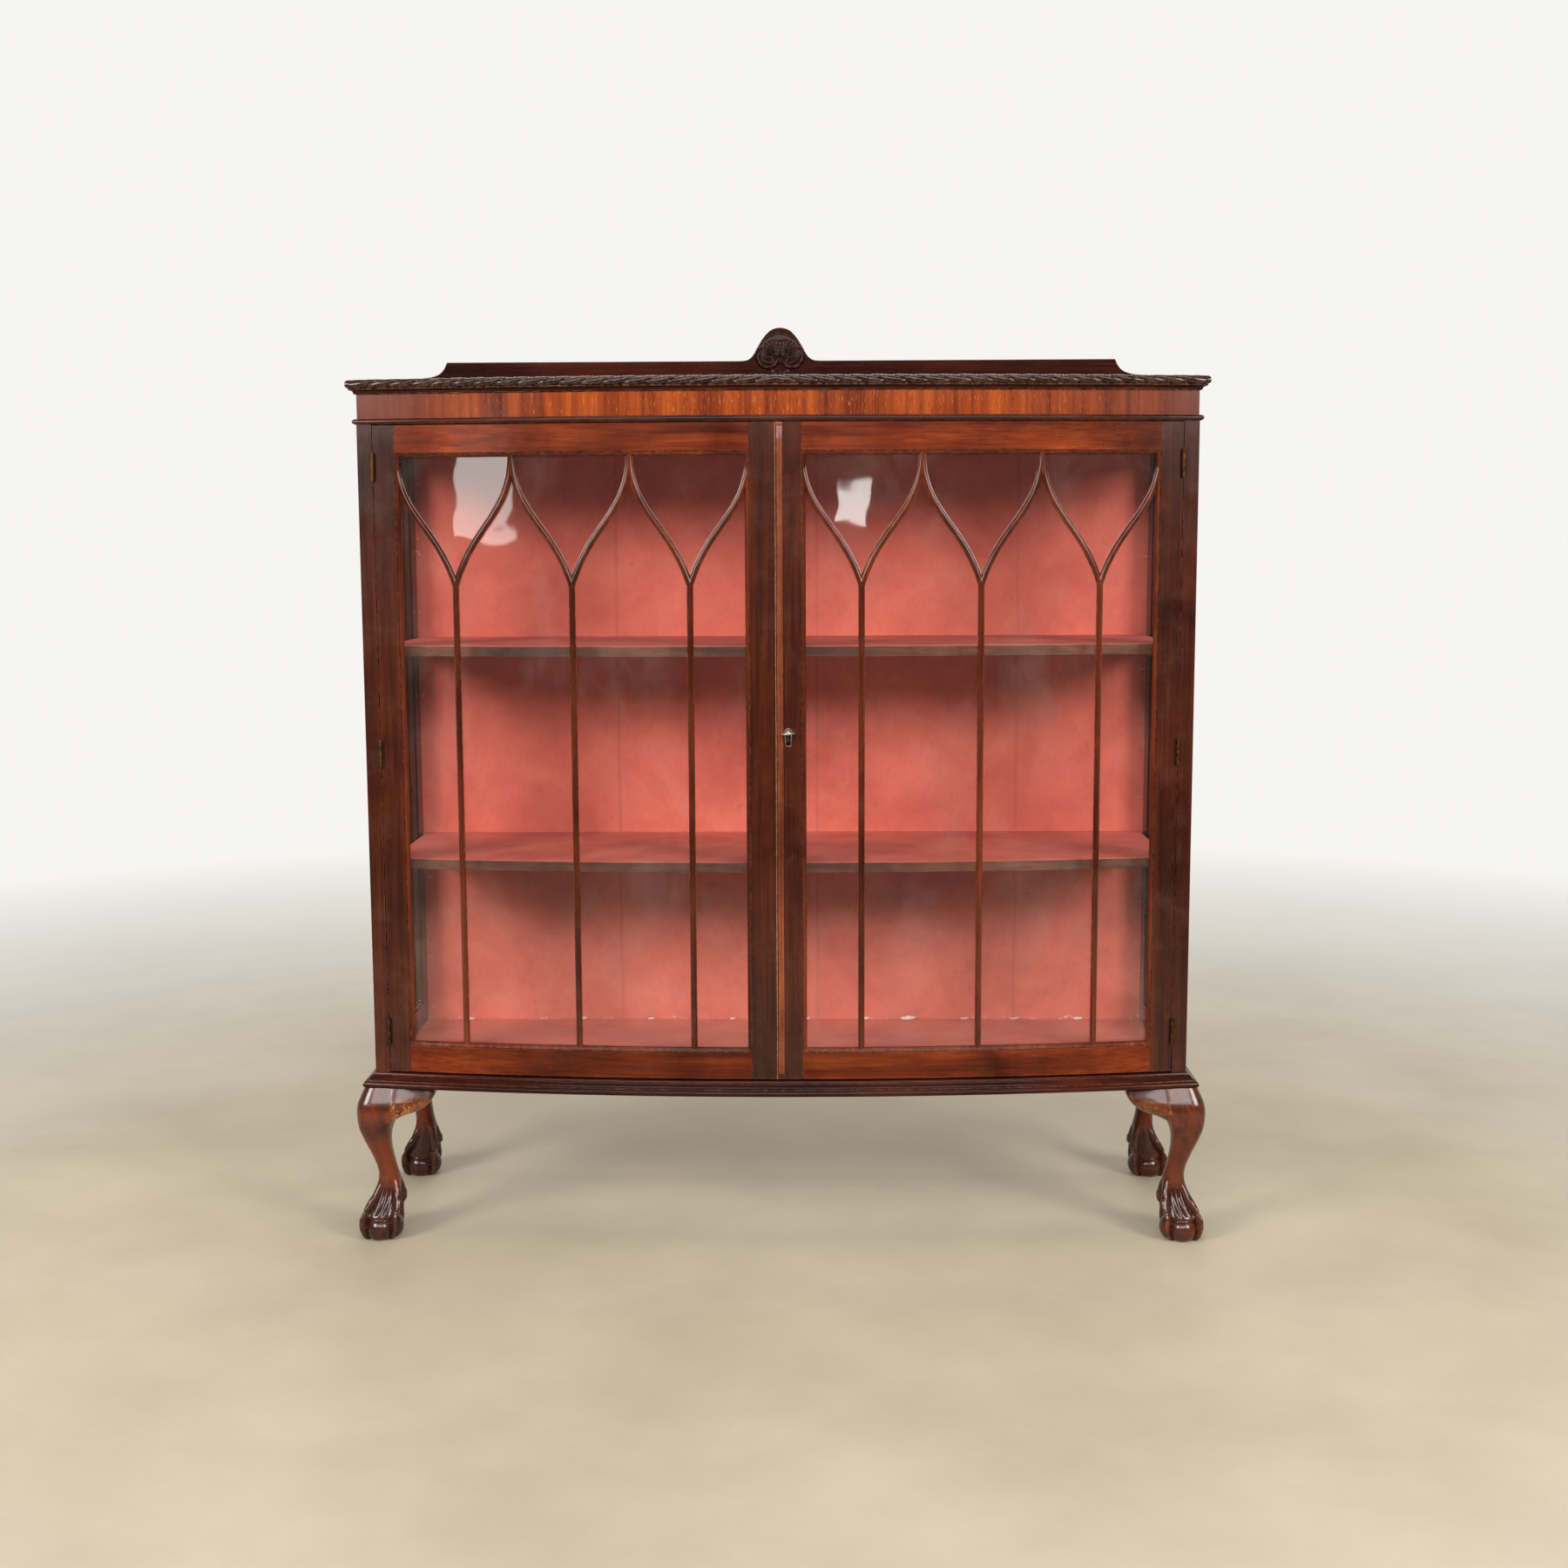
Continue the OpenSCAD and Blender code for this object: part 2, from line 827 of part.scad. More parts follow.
module right_door_rails() {
  color(frame_wood) placed() {
    bowed(right_open, door_outer - hinge_stile_w, door_z0, open_z0, 0, door_t);
    bowed(right_open, door_outer - hinge_stile_w, open_z1, door_z1, 0, door_t);
  }
}

module closing_bead() {
  color(dark_wood) placed()
    bowed(right_meet + 1.2, right_meet + 1.2 + closing_w, door_z0 + 8, door_z1, -3.4, 0);
}

// Glass and fretwork

module door_pane(x0, x1) {
  bowed(x0 + 0.4, x1 - 0.4, open_z0 + 0.4, open_z1 - 0.4, 9, 9 + glass_t);
}

module left_glass() {
  color(glass_tint) placed() door_pane(hinge_stile_w - door_outer, left_open);
}

module right_glass() {
  color(glass_tint) placed() door_pane(right_open, door_outer - hinge_stile_w);
}

module door_beads(x0, x1) {
  bowed_ring(x0, x1, open_z0, open_z1, glaze_w, 2, 9);
  bowed_ring(x0, x1, open_z0, open_z1, glaze_w + 1, 9 + glass_t, door_t - 1);
}

module left_glazing_beads() {
  color(frame_wood) placed() door_beads(hinge_stile_w - door_outer, left_open);
}

module right_glazing_beads() {
  color(frame_wood) placed() door_beads(right_open, door_outer - hinge_stile_w);
}

// One branch of the fretwork: a stroke along an S curve from the fork to an apex
module branch(xs, xa) {
  n = 14;
  h = open_z1 - fork_z;
  pts = [for (i = [0 : n]) let (t = i / n)
    [xs + (xa - xs) * bez(0, 0.32, 1, 1, t), fork_z + h * bez(0, 0.47, 0.53, 1, t)]];
  dirs = [for (i = [0 : n])
    let (a = pts[min(n, i + 1)] - pts[max(0, i - 1)]) a / norm(a)];
  polygon(concat(
    [for (i = [0 : n]) pts[i] + branch_w / 2 * [-dirs[i][1], dirs[i][0]]],
    [for (i = [n : -1 : 0]) pts[i] - branch_w / 2 * [-dirs[i][1], dirs[i][0]]]
  ));
}

module fret_2d(x0, x1) {
  bay = (x1 - x0) / bays;
  intersection() {
    union()
      for (i = [0 : bays - 1]) {
        xs = x0 + (i + 0.5) * bay;
        translate([xs - stem_w / 2, open_z0]) square([stem_w, fork_z - open_z0 + 6]);
        branch(xs, x0 + i * bay);
        branch(xs, x0 + (i + 1) * bay);
      }
    translate([x0 + glaze_w, open_z0 + glaze_w])
      square([x1 - x0 - 2 * glaze_w, open_z1 - open_z0 - 2 * glaze_w]);
  }
}

module fretwork(x0, x1) {
  intersection() {
    slab_y(-80, 60) fret_2d(x0, x1);
    bowed(x0, x1, open_z0, open_z1, 3, 9);
  }
}

module left_fretwork() {
  color(frame_wood) placed() fretwork(hinge_stile_w - door_outer, left_open);
}

module right_fretwork() {
  color(frame_wood) placed() fretwork(right_open, door_outer - hinge_stile_w);
}

// Door hardware

module left_hinge_leaves() {
  color(brass) placed() mirror([1, 0, 0]) door_leaves_r();
}

module right_hinge_leaves() {
  color(brass) placed() door_leaves_r();
}

module plate_screw(z) {
  translate([surface_bolt_x, plate_y0 + plate_t, z]) rotate([90, 0, 0]) union() {
    cylinder(r1 = plate_screw_head_r, r2 = plate_screw_r, h = plate_t);
    translate([0, 0, plate_t - eps]) cylinder(r = plate_screw_r, h = plate_screw_len - plate_t);
  }
}

module left_door_screws() {
  color(brass) placed() {
    mirror([1, 0, 0]) hinge_screws_r(door_outer, -1);
    for (z = strike_screw_zs)
      translate([left_meet, strike_screw_y, z]) rotate([0, -90, 0]) union() {
        cylinder(r1 = plate_screw_head_r, r2 = screw_r, h = lock_wall);
        translate([0, 0, lock_wall - eps]) cylinder(r = screw_r, h = 8);
      }
    for (z = plate_screw_zs) plate_screw(z);
  }
}

module right_door_screws() {
  color(brass) placed() {
    hinge_screws_r(door_outer, -1);
    for (z = case_screw_zs)
      translate([key_x, lock_back_y + 1, z]) rotate([90, 0, 0]) union() {
        cylinder(r1 = plate_screw_head_r, r2 = screw_r, h = lock_wall);
        translate([0, 0, lock_wall - eps]) cylinder(r = screw_r, h = 8);
      }
  }
}

module lock_screw_holes() {
  for (z = case_screw_zs)
    translate([key_x, lock_back_y + 2, z]) rotate([90, 0, 0])
      cylinder(r = screw_r + 0.05, h = 11);
}

module strike_plate() {
  color(brass) placed() difference() {
    translate([left_meet - lock_wall, strike_y0, strike_z0])
      cube([lock_wall, strike_d, strike_h]);
    translate([left_meet - 3, bolt_y0 - 0.8, bolt_z0 - 0.8])
      cube([5, bolt_y1 - bolt_y0 + 1.6, bolt_z1 - bolt_z0 + 1.6]);
    for (z = strike_screw_zs)
      translate([left_meet, strike_screw_y, z]) rotate([0, -90, 0])
        cylinder(r1 = plate_screw_head_r + 0.05, r2 = screw_r + 0.05, h = lock_wall);
  }
}

// Surface bolts on the inner face of the left meeting stile

module bolt_plate(z0, staple_zs) {
  difference() {
    union() {
      translate([surface_bolt_x - 8, plate_y0, z0]) cube([16, plate_t, plate_h]);
      for (z = staple_zs)
        translate([surface_bolt_x - 5, plate_y0 + plate_t - eps, z]) cube([10, 7.5, staple_h]);
    }
    translate([surface_bolt_x, rod_y, z0 - 1]) cylinder(r = rod_r + rod_gap, h = plate_h + 2);
    for (z = plate_screw_zs)
      translate([surface_bolt_x, plate_y0 + plate_t, z]) rotate([90, 0, 0])
        cylinder(r1 = plate_screw_head_r + 0.05, r2 = plate_screw_r + 0.05, h = plate_t);
  }
}

module surface_bolt_plates() {
  color(brass) placed() {
    bolt_plate(top_plate_z0, [top_plate_z0 + 10, top_plate_z0 + plate_h - 2 - staple_h]);
    bolt_plate(low_plate_z0, [low_plate_z0 + 2, low_plate_z0 + plate_h - 10 - staple_h]);
  }
}

module rod(z0, knob_z) {
  translate([surface_bolt_x, rod_y, z0]) cylinder(r = rod_r, h = rod_len);
  translate([surface_bolt_x, rod_y, knob_z]) rotate([-90, 0, 0]) cylinder(r = 1.8, h = 7);
  translate([surface_bolt_x, rod_y + 6, knob_z]) rotate([-90, 0, 0]) cylinder(r = 4, h = 3);
}

module top_bolt() {
  color(brass) placed() union() rod(top_rod_z0, top_rod_z0 + knob_shift);
}

module bottom_bolt() {
  color(brass) placed() union() rod(low_rod_z0, low_rod_z0 + rod_len - knob_shift);
}

// Lock of the right door

// Round head with a tapered slot below it
module keyhole(r, w_top, w_low, drop) {
  n = 24;
  a0 = -acos(w_top / 2 / r);
  translate([key_x, key_z]) polygon(concat(
    [for (i = [0 : n]) let (a = a0 + (180 - 2 * a0) * i / n) [r * cos(a), r * sin(a)]],
    [[-w_low / 2, -drop], [w_low / 2, -drop]]
  ));
}

module escutcheon() {
  color(brass) placed() difference() {
    slab_y(plate_face_y, plate_face_y + escutcheon_t) keyhole(5.5, 10, 8, 20);
    slab_y(plate_face_y - 1, plate_face_y + escutcheon_t + 1) keyhole(3.9, 5.2, 4.2, 17);
  }
}

module lock_case() {
  color(iron) placed() difference() {
    union() {
      translate([right_meet, lock_front_y, lock_z0])
        cube([lock_x1 - right_meet, lock_back_y - lock_front_y, lock_z1 - lock_z0]);
      translate([right_meet, lock_back_y - 0.2, lock_z0 - 6])
        cube([lock_x1 - right_meet, 1.2, lock_z1 - lock_z0 + 12]);
    }
    translate([right_meet + lock_wall, lock_front_y + lock_wall, lock_z0 + lock_wall])
      cube([
        lock_x1 - right_meet - 2 * lock_wall,
        lock_back_y - lock_front_y - 2 * lock_wall,
        lock_z1 - lock_z0 - 2 * lock_wall
      ]);
    translate([right_meet - 1, bolt_y0 - bolt_gap, bolt_z0 - bolt_gap])
      cube([4, bolt_y1 - bolt_y0 + 2 * bolt_gap, bolt_z1 - bolt_z0 + 2 * bolt_gap]);
    slab_y(lock_front_y - 1, lock_front_y + 3) keyhole(2.6, 3.4, 3.4, 8);
    for (z = case_screw_zs)
      translate([key_x, lock_back_y + 1, z]) rotate([90, 0, 0])
        cylinder(r1 = plate_screw_head_r + 0.05, r2 = screw_r + 0.05, h = 1.3);
  }
}

module lock_bolt() {
  color(brass) placed() difference() {
    translate([right_meet + 0.2, bolt_y0, bolt_z0])
      cube([28.4, bolt_y1 - bolt_y0, bolt_z1 - bolt_z0]);
    translate([19.2, bolt_y0 - 1, 741.5]) cube([5.4, bolt_y1 - bolt_y0 + 2, 6]);
  }
}

module key() {
  color(iron) placed() union() {
    translate([key_x, -60, key_z]) rotate([-90, 0, 0]) cylinder(r = stem_r, h = 29.4);
    translate([key_x, -55.4, key_z]) rotate([-90, 0, 0]) cylinder(r = 3.2, h = 1.6);
    translate([key_x, key_tip_y + key_bow_d / 2, key_z - 1.3]) linear_extrude(2.6)
      difference() {
        circle(d = key_bow_d);
        circle(d = key_bow_d - 8);
      }
    translate([key_x, -39.4, key_z - bit_t / 2]) cube([bit_r, 6.2, bit_t]);
  }
}

top_board();
cornice_moulding();
gadroon_edge();
frieze_front();
frieze_sides();
bead_moulding();
head_rail();
front_post_left();
front_post_right();
rear_posts();
side_rails();
side_glass_left();
side_glass_right();
side_glazing_beads();
back_boards();
back_lining();
bottom_board();
board_linings();
shelf_upper();
shelf_lower();
shelf_cleats();
base_frame();
base_moulding();
gallery_board();
shell_carving();
leg_front_left();
leg_front_right();
leg_rear_left();
leg_rear_right();
knee_blocks();
case_hinge_leaves();
hinge_pins();
case_hinge_screws();
left_hinge_stile();
left_meeting_stile();
left_door_rails();
left_glass();
left_fretwork();
left_glazing_beads();
left_hinge_leaves();
left_door_screws();
strike_plate();
surface_bolt_plates();
top_bolt();
bottom_bolt();
right_hinge_stile();
right_meeting_stile();
right_door_rails();
right_glass();
right_fretwork();
right_glazing_beads();
right_hinge_leaves();
right_door_screws();
closing_bead();
lock_case();
escutcheon();
lock_bolt();
key();
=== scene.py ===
import math

import bmesh
import bpy
import numpy as np
from mathutils import Matrix, Vector


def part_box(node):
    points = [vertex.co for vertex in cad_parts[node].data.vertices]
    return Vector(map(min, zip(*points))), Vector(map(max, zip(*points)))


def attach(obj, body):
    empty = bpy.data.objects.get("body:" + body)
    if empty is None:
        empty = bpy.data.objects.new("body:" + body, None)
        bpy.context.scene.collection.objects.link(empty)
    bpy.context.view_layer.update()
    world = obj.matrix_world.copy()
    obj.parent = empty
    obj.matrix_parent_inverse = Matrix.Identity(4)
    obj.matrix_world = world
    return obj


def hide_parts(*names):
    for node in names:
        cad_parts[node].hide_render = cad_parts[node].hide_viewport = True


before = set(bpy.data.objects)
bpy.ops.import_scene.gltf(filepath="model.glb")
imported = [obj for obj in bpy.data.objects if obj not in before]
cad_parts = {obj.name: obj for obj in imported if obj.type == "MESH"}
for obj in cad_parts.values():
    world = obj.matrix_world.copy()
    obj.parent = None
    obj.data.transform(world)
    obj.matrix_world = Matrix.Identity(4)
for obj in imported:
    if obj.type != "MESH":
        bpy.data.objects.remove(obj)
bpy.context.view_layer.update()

MM = 0.001

# ---------------- the case, read from the frame

CASE_DEPTH = 0.305
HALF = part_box("top_board")[1].x
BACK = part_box("rear_posts")[1].y
CORNER = BACK - CASE_DEPTH
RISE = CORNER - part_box("top_board")[0].y
BOW_R = (HALF ** 2 + RISE ** 2) / (2 * RISE)
BOW_CY = CORNER + BOW_R - RISE
BASE_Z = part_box("base_moulding")[0].z
DOOR_Z = (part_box("left_hinge_stile")[0].z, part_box("left_hinge_stile")[1].z)
OPEN_Z = (0.290, 1.140)
DOOR_THICK = 0.020
LEFT_OPEN = (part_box("left_hinge_stile")[1].x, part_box("left_meeting_stile")[0].x)
RIGHT_OPEN = (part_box("right_meeting_stile")[1].x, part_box("right_hinge_stile")[0].x)
BOARD_SEAMS = (-0.256, 0.056, 0.368)
REAR_LEG_Y = BACK - 0.008


def bow_y(x, out):
    """Y of the curved front at X, a distance out in front of the door faces."""
    return BOW_CY - np.sqrt((BOW_R + out) ** 2 - np.square(x))


# ---------------- mesh helpers

def row(x, y, z):
    """Points from coordinates that are arrays or single numbers."""
    return np.stack(np.broadcast_arrays(x, y, z), axis=-1)


def skin(rings, capped=True, closed=False):
    """Verts and faces of a tube through rings of equal length, capped at its ends or closed into a loop."""
    rings = np.asarray(rings, float)
    m, n = rings.shape[:2]
    faces = [(i * n + j, i * n + (j + 1) % n, (i + 1) % m * n + (j + 1) % n, (i + 1) % m * n + j)
             for i in range(m if closed else m - 1) for j in range(n)]
    if capped and not closed:
        faces.append(tuple(range(n - 1, -1, -1)))
        faces.append(tuple((m - 1) * n + j for j in range(n)))
    return rings.reshape(-1, 3), faces


def link(name, data):
    """New object in the scene for a mesh, a light or a camera."""
    added = bpy.data.objects.new(name, data)
    bpy.context.scene.collection.objects.link(added)
    return added


def make(name, parts, body, material, replaces=(), angle=38):
    """One object from several (verts, faces) parts, on a CAD body."""
    verts, faces, base = [], [], 0
    for part_verts, part_faces in parts:
        verts.extend(map(tuple, part_verts))
        faces.extend(tuple(base + i for i in face) for face in part_faces)
        base += len(part_verts)
    mesh = bpy.data.meshes.new(name)
    mesh.from_pydata(verts, [], faces)
    bm = bmesh.new()
    bm.from_mesh(mesh)
    bmesh.ops.recalc_face_normals(bm, faces=bm.faces)
    bm.to_mesh(mesh)
    bm.free()
    mesh.shade_smooth()
    mesh.set_sharp_from_angle(angle=math.radians(angle))
    piece = link(name, mesh)
    mesh.materials.append(material)
    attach(piece, body)
    if replaces:
        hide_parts(*replaces)
    return piece


def flat_faces(piece):
    """Normals that keep broad faces flat beside their rounded edges."""
    piece.modifiers.new("flat_faces", "WEIGHTED_NORMAL").keep_sharp = True


def weld(piece):
    """Joins doubled points along seams."""
    piece.modifiers.new("weld", "WELD").merge_threshold = 1e-6


def rounded(points, cut):
    """Corner-cut outline: every corner becomes a small curve."""
    pts = np.asarray(points, float)
    for _ in range(2):
        following = np.roll(pts, -1, axis=0)
        pairs = np.stack([pts * (1 - cut) + following * cut, pts * cut + following * (1 - cut)], axis=1)
        pts = pairs.reshape(-1, 2)
    return pts


def spline(points, count):
    """Smooth curve through points, sampled evenly along its length."""
    p = np.asarray(points, float)
    ext = np.vstack([2 * p[0] - p[1], p, 2 * p[-1] - p[-2]])
    dense = []
    for i in range(len(p) - 1):
        a, b, c, d = ext[i:i + 4]
        for t in np.linspace(0, 1, 24, endpoint=False):
            dense.append(0.5 * (2 * b + (c - a) * t + (2 * a - 5 * b + 4 * c - d) * t ** 2
                                + (3 * b - a - 3 * c + d) * t ** 3))
    dense.append(p[-1])
    dense = np.array(dense)
    steps = np.linalg.norm(np.diff(dense, axis=0), axis=1)
    reached = np.concatenate([[0], np.cumsum(steps)])
    want = np.linspace(0, reached[-1], count)
    return np.stack([np.interp(want, reached, dense[:, k]) for k in range(dense.shape[1])], axis=1)


def smoothstep(a, b, x):
    """Soft step from 0 at a to 1 at b."""
    t = np.clip((x - a) / (b - a), 0, 1)
    return t * t * (3 - 2 * t)


def bell(x, centre, width):
    """Soft bump of height 1."""
    return np.exp(-((x - centre) / width) ** 2)


def rounded_box(a0, a1, b0, b1, r):
    """Outline of a rectangle with rounded corners, as (a, b) pairs."""
    pts = []
    for ca, cb, start in ((a1 - r, b1 - r, 0), (a0 + r, b1 - r, 90),
                          (a0 + r, b0 + r, 180), (a1 - r, b0 + r, 270)):
        for k in range(4):
            a = math.radians(start + 30 * k)
            pts.append((ca + r * math.cos(a), cb + r * math.sin(a)))
    return np.array(pts)


# ---------------- shaders

def srgb(r, g, b):
    """Linear colour from display values of 0 to 255."""
    return tuple(((c / 255 + 0.055) / 1.055) ** 2.4 if c > 10 else c / 3295 for c in (r, g, b)) + (1,)


class Nodes:
    """A node tree with short calls for the nodes that the finishes here use."""

    def __init__(self, tree, coordinates):
        self.tree = tree
        self.place = self.add("ShaderNodeTexCoord").outputs[coordinates]

    def add(self, kind, inputs=None, **settings):
        """A new node with its settings, and values or links on its inputs."""
        node = self.tree.nodes.new(kind)
        for key, value in settings.items():
            setattr(node, key, value)
        for key, value in (inputs or {}).items():
            self.put(node.inputs[key], value)
        return node

    def put(self, socket, value):
        if isinstance(value, bpy.types.NodeSocket):
            self.tree.links.new(value, socket)
        else:
            socket.default_value = value

    def stretched(self, scale):
        return self.add("ShaderNodeMapping", {"Vector": self.place, "Scale": scale}).outputs["Vector"]

    def noise(self, vector, scale, detail=4, roughness=0.55, distortion=0):
        return self.add("ShaderNodeTexNoise", {
            "Vector": vector, "Scale": scale, "Detail": detail, "Roughness": roughness,
            "Distortion": distortion}).outputs["Fac"]

    def ramp(self, fac, *stops):
        node = self.add("ShaderNodeValToRGB", {"Fac": fac})
        elements = node.color_ramp.elements
        while len(elements) < len(stops):
            elements.new(0.5)
        for element, (position, colour) in zip(elements, stops):
            element.position = position
            element.color = colour if isinstance(colour, tuple) else (colour,) * 3 + (1,)
        return node.outputs["Color"]

    def rise(self, fac, low, high, level=1.0):
        """0 below one value, the level above the other."""
        return self.ramp(fac, (low, 0.0), (high, level))

    def fall(self, fac, low, high, level=1.0):
        """The level below one value, 0 above the other."""
        return self.ramp(fac, (low, level), (high, 0.0))

    def math(self, operation, a, b=0.0, clamp=False):
        return self.add("ShaderNodeMath", {0: a, 1: b}, operation=operation, use_clamp=clamp).outputs[0]

    def times(self, a, b, clamp=False):
        return self.math("MULTIPLY", a, b, clamp)

    def plus(self, a, b):
        return self.math("ADD", a, b)

    def mix(self, fac, a, b, blend="MIX"):
        return self.add("ShaderNodeMix", {0: fac, 6: a, 7: b}, data_type="RGBA", blend_type=blend).outputs[2]

    def part(self, axis):
        """One coordinate of the row frame."""
        return self.add("ShaderNodeSeparateXYZ", {0: self.place}).outputs["XYZ".index(axis)]

    def bump(self, height, strength, distance, under=None):
        node = self.add("ShaderNodeBump", {"Strength": strength, "Distance": distance, "Height": height})
        if under:
            self.put(node.inputs["Normal"], under)
        return node.outputs["Normal"]


class Shader(Nodes):
    """A material on the principled shader."""

    def __init__(self, name):
        self.material = bpy.data.materials.new(name)
        self.material.use_nodes = True
        super().__init__(self.material.node_tree, "Object")
        self.bsdf = self.tree.nodes["Principled BSDF"]

    def set(self, **values):
        for key, value in values.items():
            self.put(self.bsdf.inputs[key.replace("_", " ")], value)


def along(axis, length):
    """Mapping scale of a pattern drawn out along one axis."""
    return tuple(length if a == axis else 1 for a in "XYZ")


def edge_mask(s, radius=0.0012):
    """Near 1 on sharp edges, 0 on flat faces."""
    bevel = s.add("ShaderNodeBevel", {"Radius": radius}, samples=4)
    flat = s.add("ShaderNodeNewGeometry").outputs["Normal"]
    dot = s.add("ShaderNodeVectorMath", {0: bevel.outputs["Normal"], 1: flat}, operation="DOT_PRODUCT")
    return s.fall(dot.outputs["Value"], 0.80, 0.985)


def ridge_mask(s, low, high):
    """Near 1 on ridges of a dense mesh, 0 in its hollows."""
    return s.rise(s.add("ShaderNodeNewGeometry").outputs["Pointiness"], low, high)


def height_zone(s, colour, low, high, tint, share):
    """Mottled tint between two heights, with soft ragged borders, weaker on the right legs."""
    rough_z = s.plus(s.part("Z"), s.times(s.noise(s.place, 30, 5, 0.65, 0.5), 0.035))
    rough_z = s.math("SUBTRACT", rough_z, 0.0175)
    rise = s.rise(s.times(s.math("SUBTRACT", rough_z, low - 0.008), 62), 0.0, 1.0)
    fall = s.fall(s.times(s.math("SUBTRACT", rough_z, high - 0.008), 62), 0.0, 1.0)
    streaks = s.ramp(s.noise(s.stretched((1, 1, 0.28)), 34, 4, 0.6, 0.8), (0.36, 0.15), (0.56, 1.0))
    side = s.ramp(s.plus(s.part("X"), 0.5), (0.0, 1.0), (1.0, 0.7))
    streaks = s.times(streaks, side)
    mask = s.times(s.times(rise, fall), s.times(streaks, share))
    return s.mix(mask, colour, tint)


def rubbed_patch(s, colour, top):
    """Ochre bare wood in ragged spots below a height, most on the left."""
    spots = s.rise(s.noise(s.place, 95, 6, 0.72, 0.6), 0.47, 0.54)
    large = s.rise(s.noise(s.place, 24, 4, 0.6), 0.40, 0.58)
    below = s.fall(s.times(s.math("SUBTRACT", s.part("Z"), top - 0.012), 60), 0.0, 1.0)
    side = s.ramp(s.plus(s.part("X"), 0.5), (0.0, 0.95), (1.0, 0.25))
    mask = s.times(s.times(spots, large), s.times(below, side))
    return s.mix(mask, colour, srgb(204, 132, 58))


def wood(name, axis, dark, mid, light, worn_and_highlight, figure=0.5, streak_scale=70, gloss=0.2,
         carved=False, dust=0.25, wear_and_highlight_amount=0.6, coat=0.22, shine=0.22,
         patchy=0.75, zones=(), rubbed=0):
    """Polished mahogany: ribbon figure, streaks, open pores, patina and rubbed edges, whose pale colour on
    mouldings and carved ridges is also a painted highlight; carved hollows get painted shade as well as
    patina.
    """
    s = Shader(name)
    ribbon = s.noise(s.stretched(along(axis, 0.16)), 9, 3, 0.5, 0.9)
    streak = s.noise(s.stretched(along(axis, 0.035)), streak_scale, 6, 0.62, 0.3)
    fine = s.noise(s.stretched(along(axis, 0.02)), streak_scale * 6, 4, 0.6)
    pores = s.noise(s.stretched(along(axis, 0.05)), 1400, 2, 0.5)
    patch = s.noise(s.place, 6, 4, 0.6, 0.4)
    body = s.plus(s.times(streak, 0.62), s.times(fine, 0.38))
    colour = s.ramp(body, (0.30, dark), (0.50, mid), (0.70, light))
    shade = s.ramp(ribbon, (0.34, 1 - figure), (0.62, 1.0))
    colour = s.mix(1.0, colour, shade, "MULTIPLY")
    shadowed = s.mix(1.0, colour, srgb(150, 118, 112), "MULTIPLY")
    colour = s.mix(s.rise(patch, 0.42, 0.66, patchy), colour, shadowed)
    pore_mask = s.rise(pores, 0.60, 0.70)
    colour = s.mix(s.times(pore_mask, 0.55), colour, dark)
    scuff_and_highlight_spots = s.rise(s.noise(s.place, 140, 5, 0.65), 0.42, 0.60)
    if carved:
        ridge = ridge_mask(s, 0.50, 0.60)
        # painted shade with patina: carved hollows darkened towards near black
        hollow_shade_and_patina = s.fall(s.add("ShaderNodeNewGeometry").outputs["Pointiness"], 0.40, 0.50)
        colour = s.mix(s.times(hollow_shade_and_patina, 0.8), colour, srgb(18, 8, 5))
        edges = s.times(ridge, scuff_and_highlight_spots)
    else:
        edges = s.times(edge_mask(s), scuff_and_highlight_spots)
    # pale rubbed colour on edges and ridges; on mouldings and carvings it is also a painted highlight
    colour = s.mix(s.times(edges, wear_and_highlight_amount), colour, worn_and_highlight)
    grime = s.rise(s.noise(s.place, 26, 6, 0.7), 0.52, 0.75, dust)
    colour = s.mix(grime, colour, srgb(96, 66, 52))
    for low, high, tint, share in zones:
        colour = height_zone(s, colour, low, high, tint, share)
    if rubbed:
        colour = rubbed_patch(s, colour, rubbed)
    s.set(Base_Color=colour)
    rough = s.times(s.noise(s.place, 17, 5, 0.65), 0.26)
    rough = s.plus(rough, gloss - 0.11)
    rough = s.plus(rough, s.times(edges, 0.15))
    s.set(Roughness=rough, Coat_Weight=coat, Coat_Roughness=0.07, Specular_IOR_Level=shine)
    wave = s.bump(s.noise(s.place, 38, 3, 0.5), 0.10, 0.0016)
    grain = s.bump(s.plus(s.times(pore_mask, -0.7), fine), 0.22, 0.00035, wave)
    s.set(Normal=grain)
    return s.material


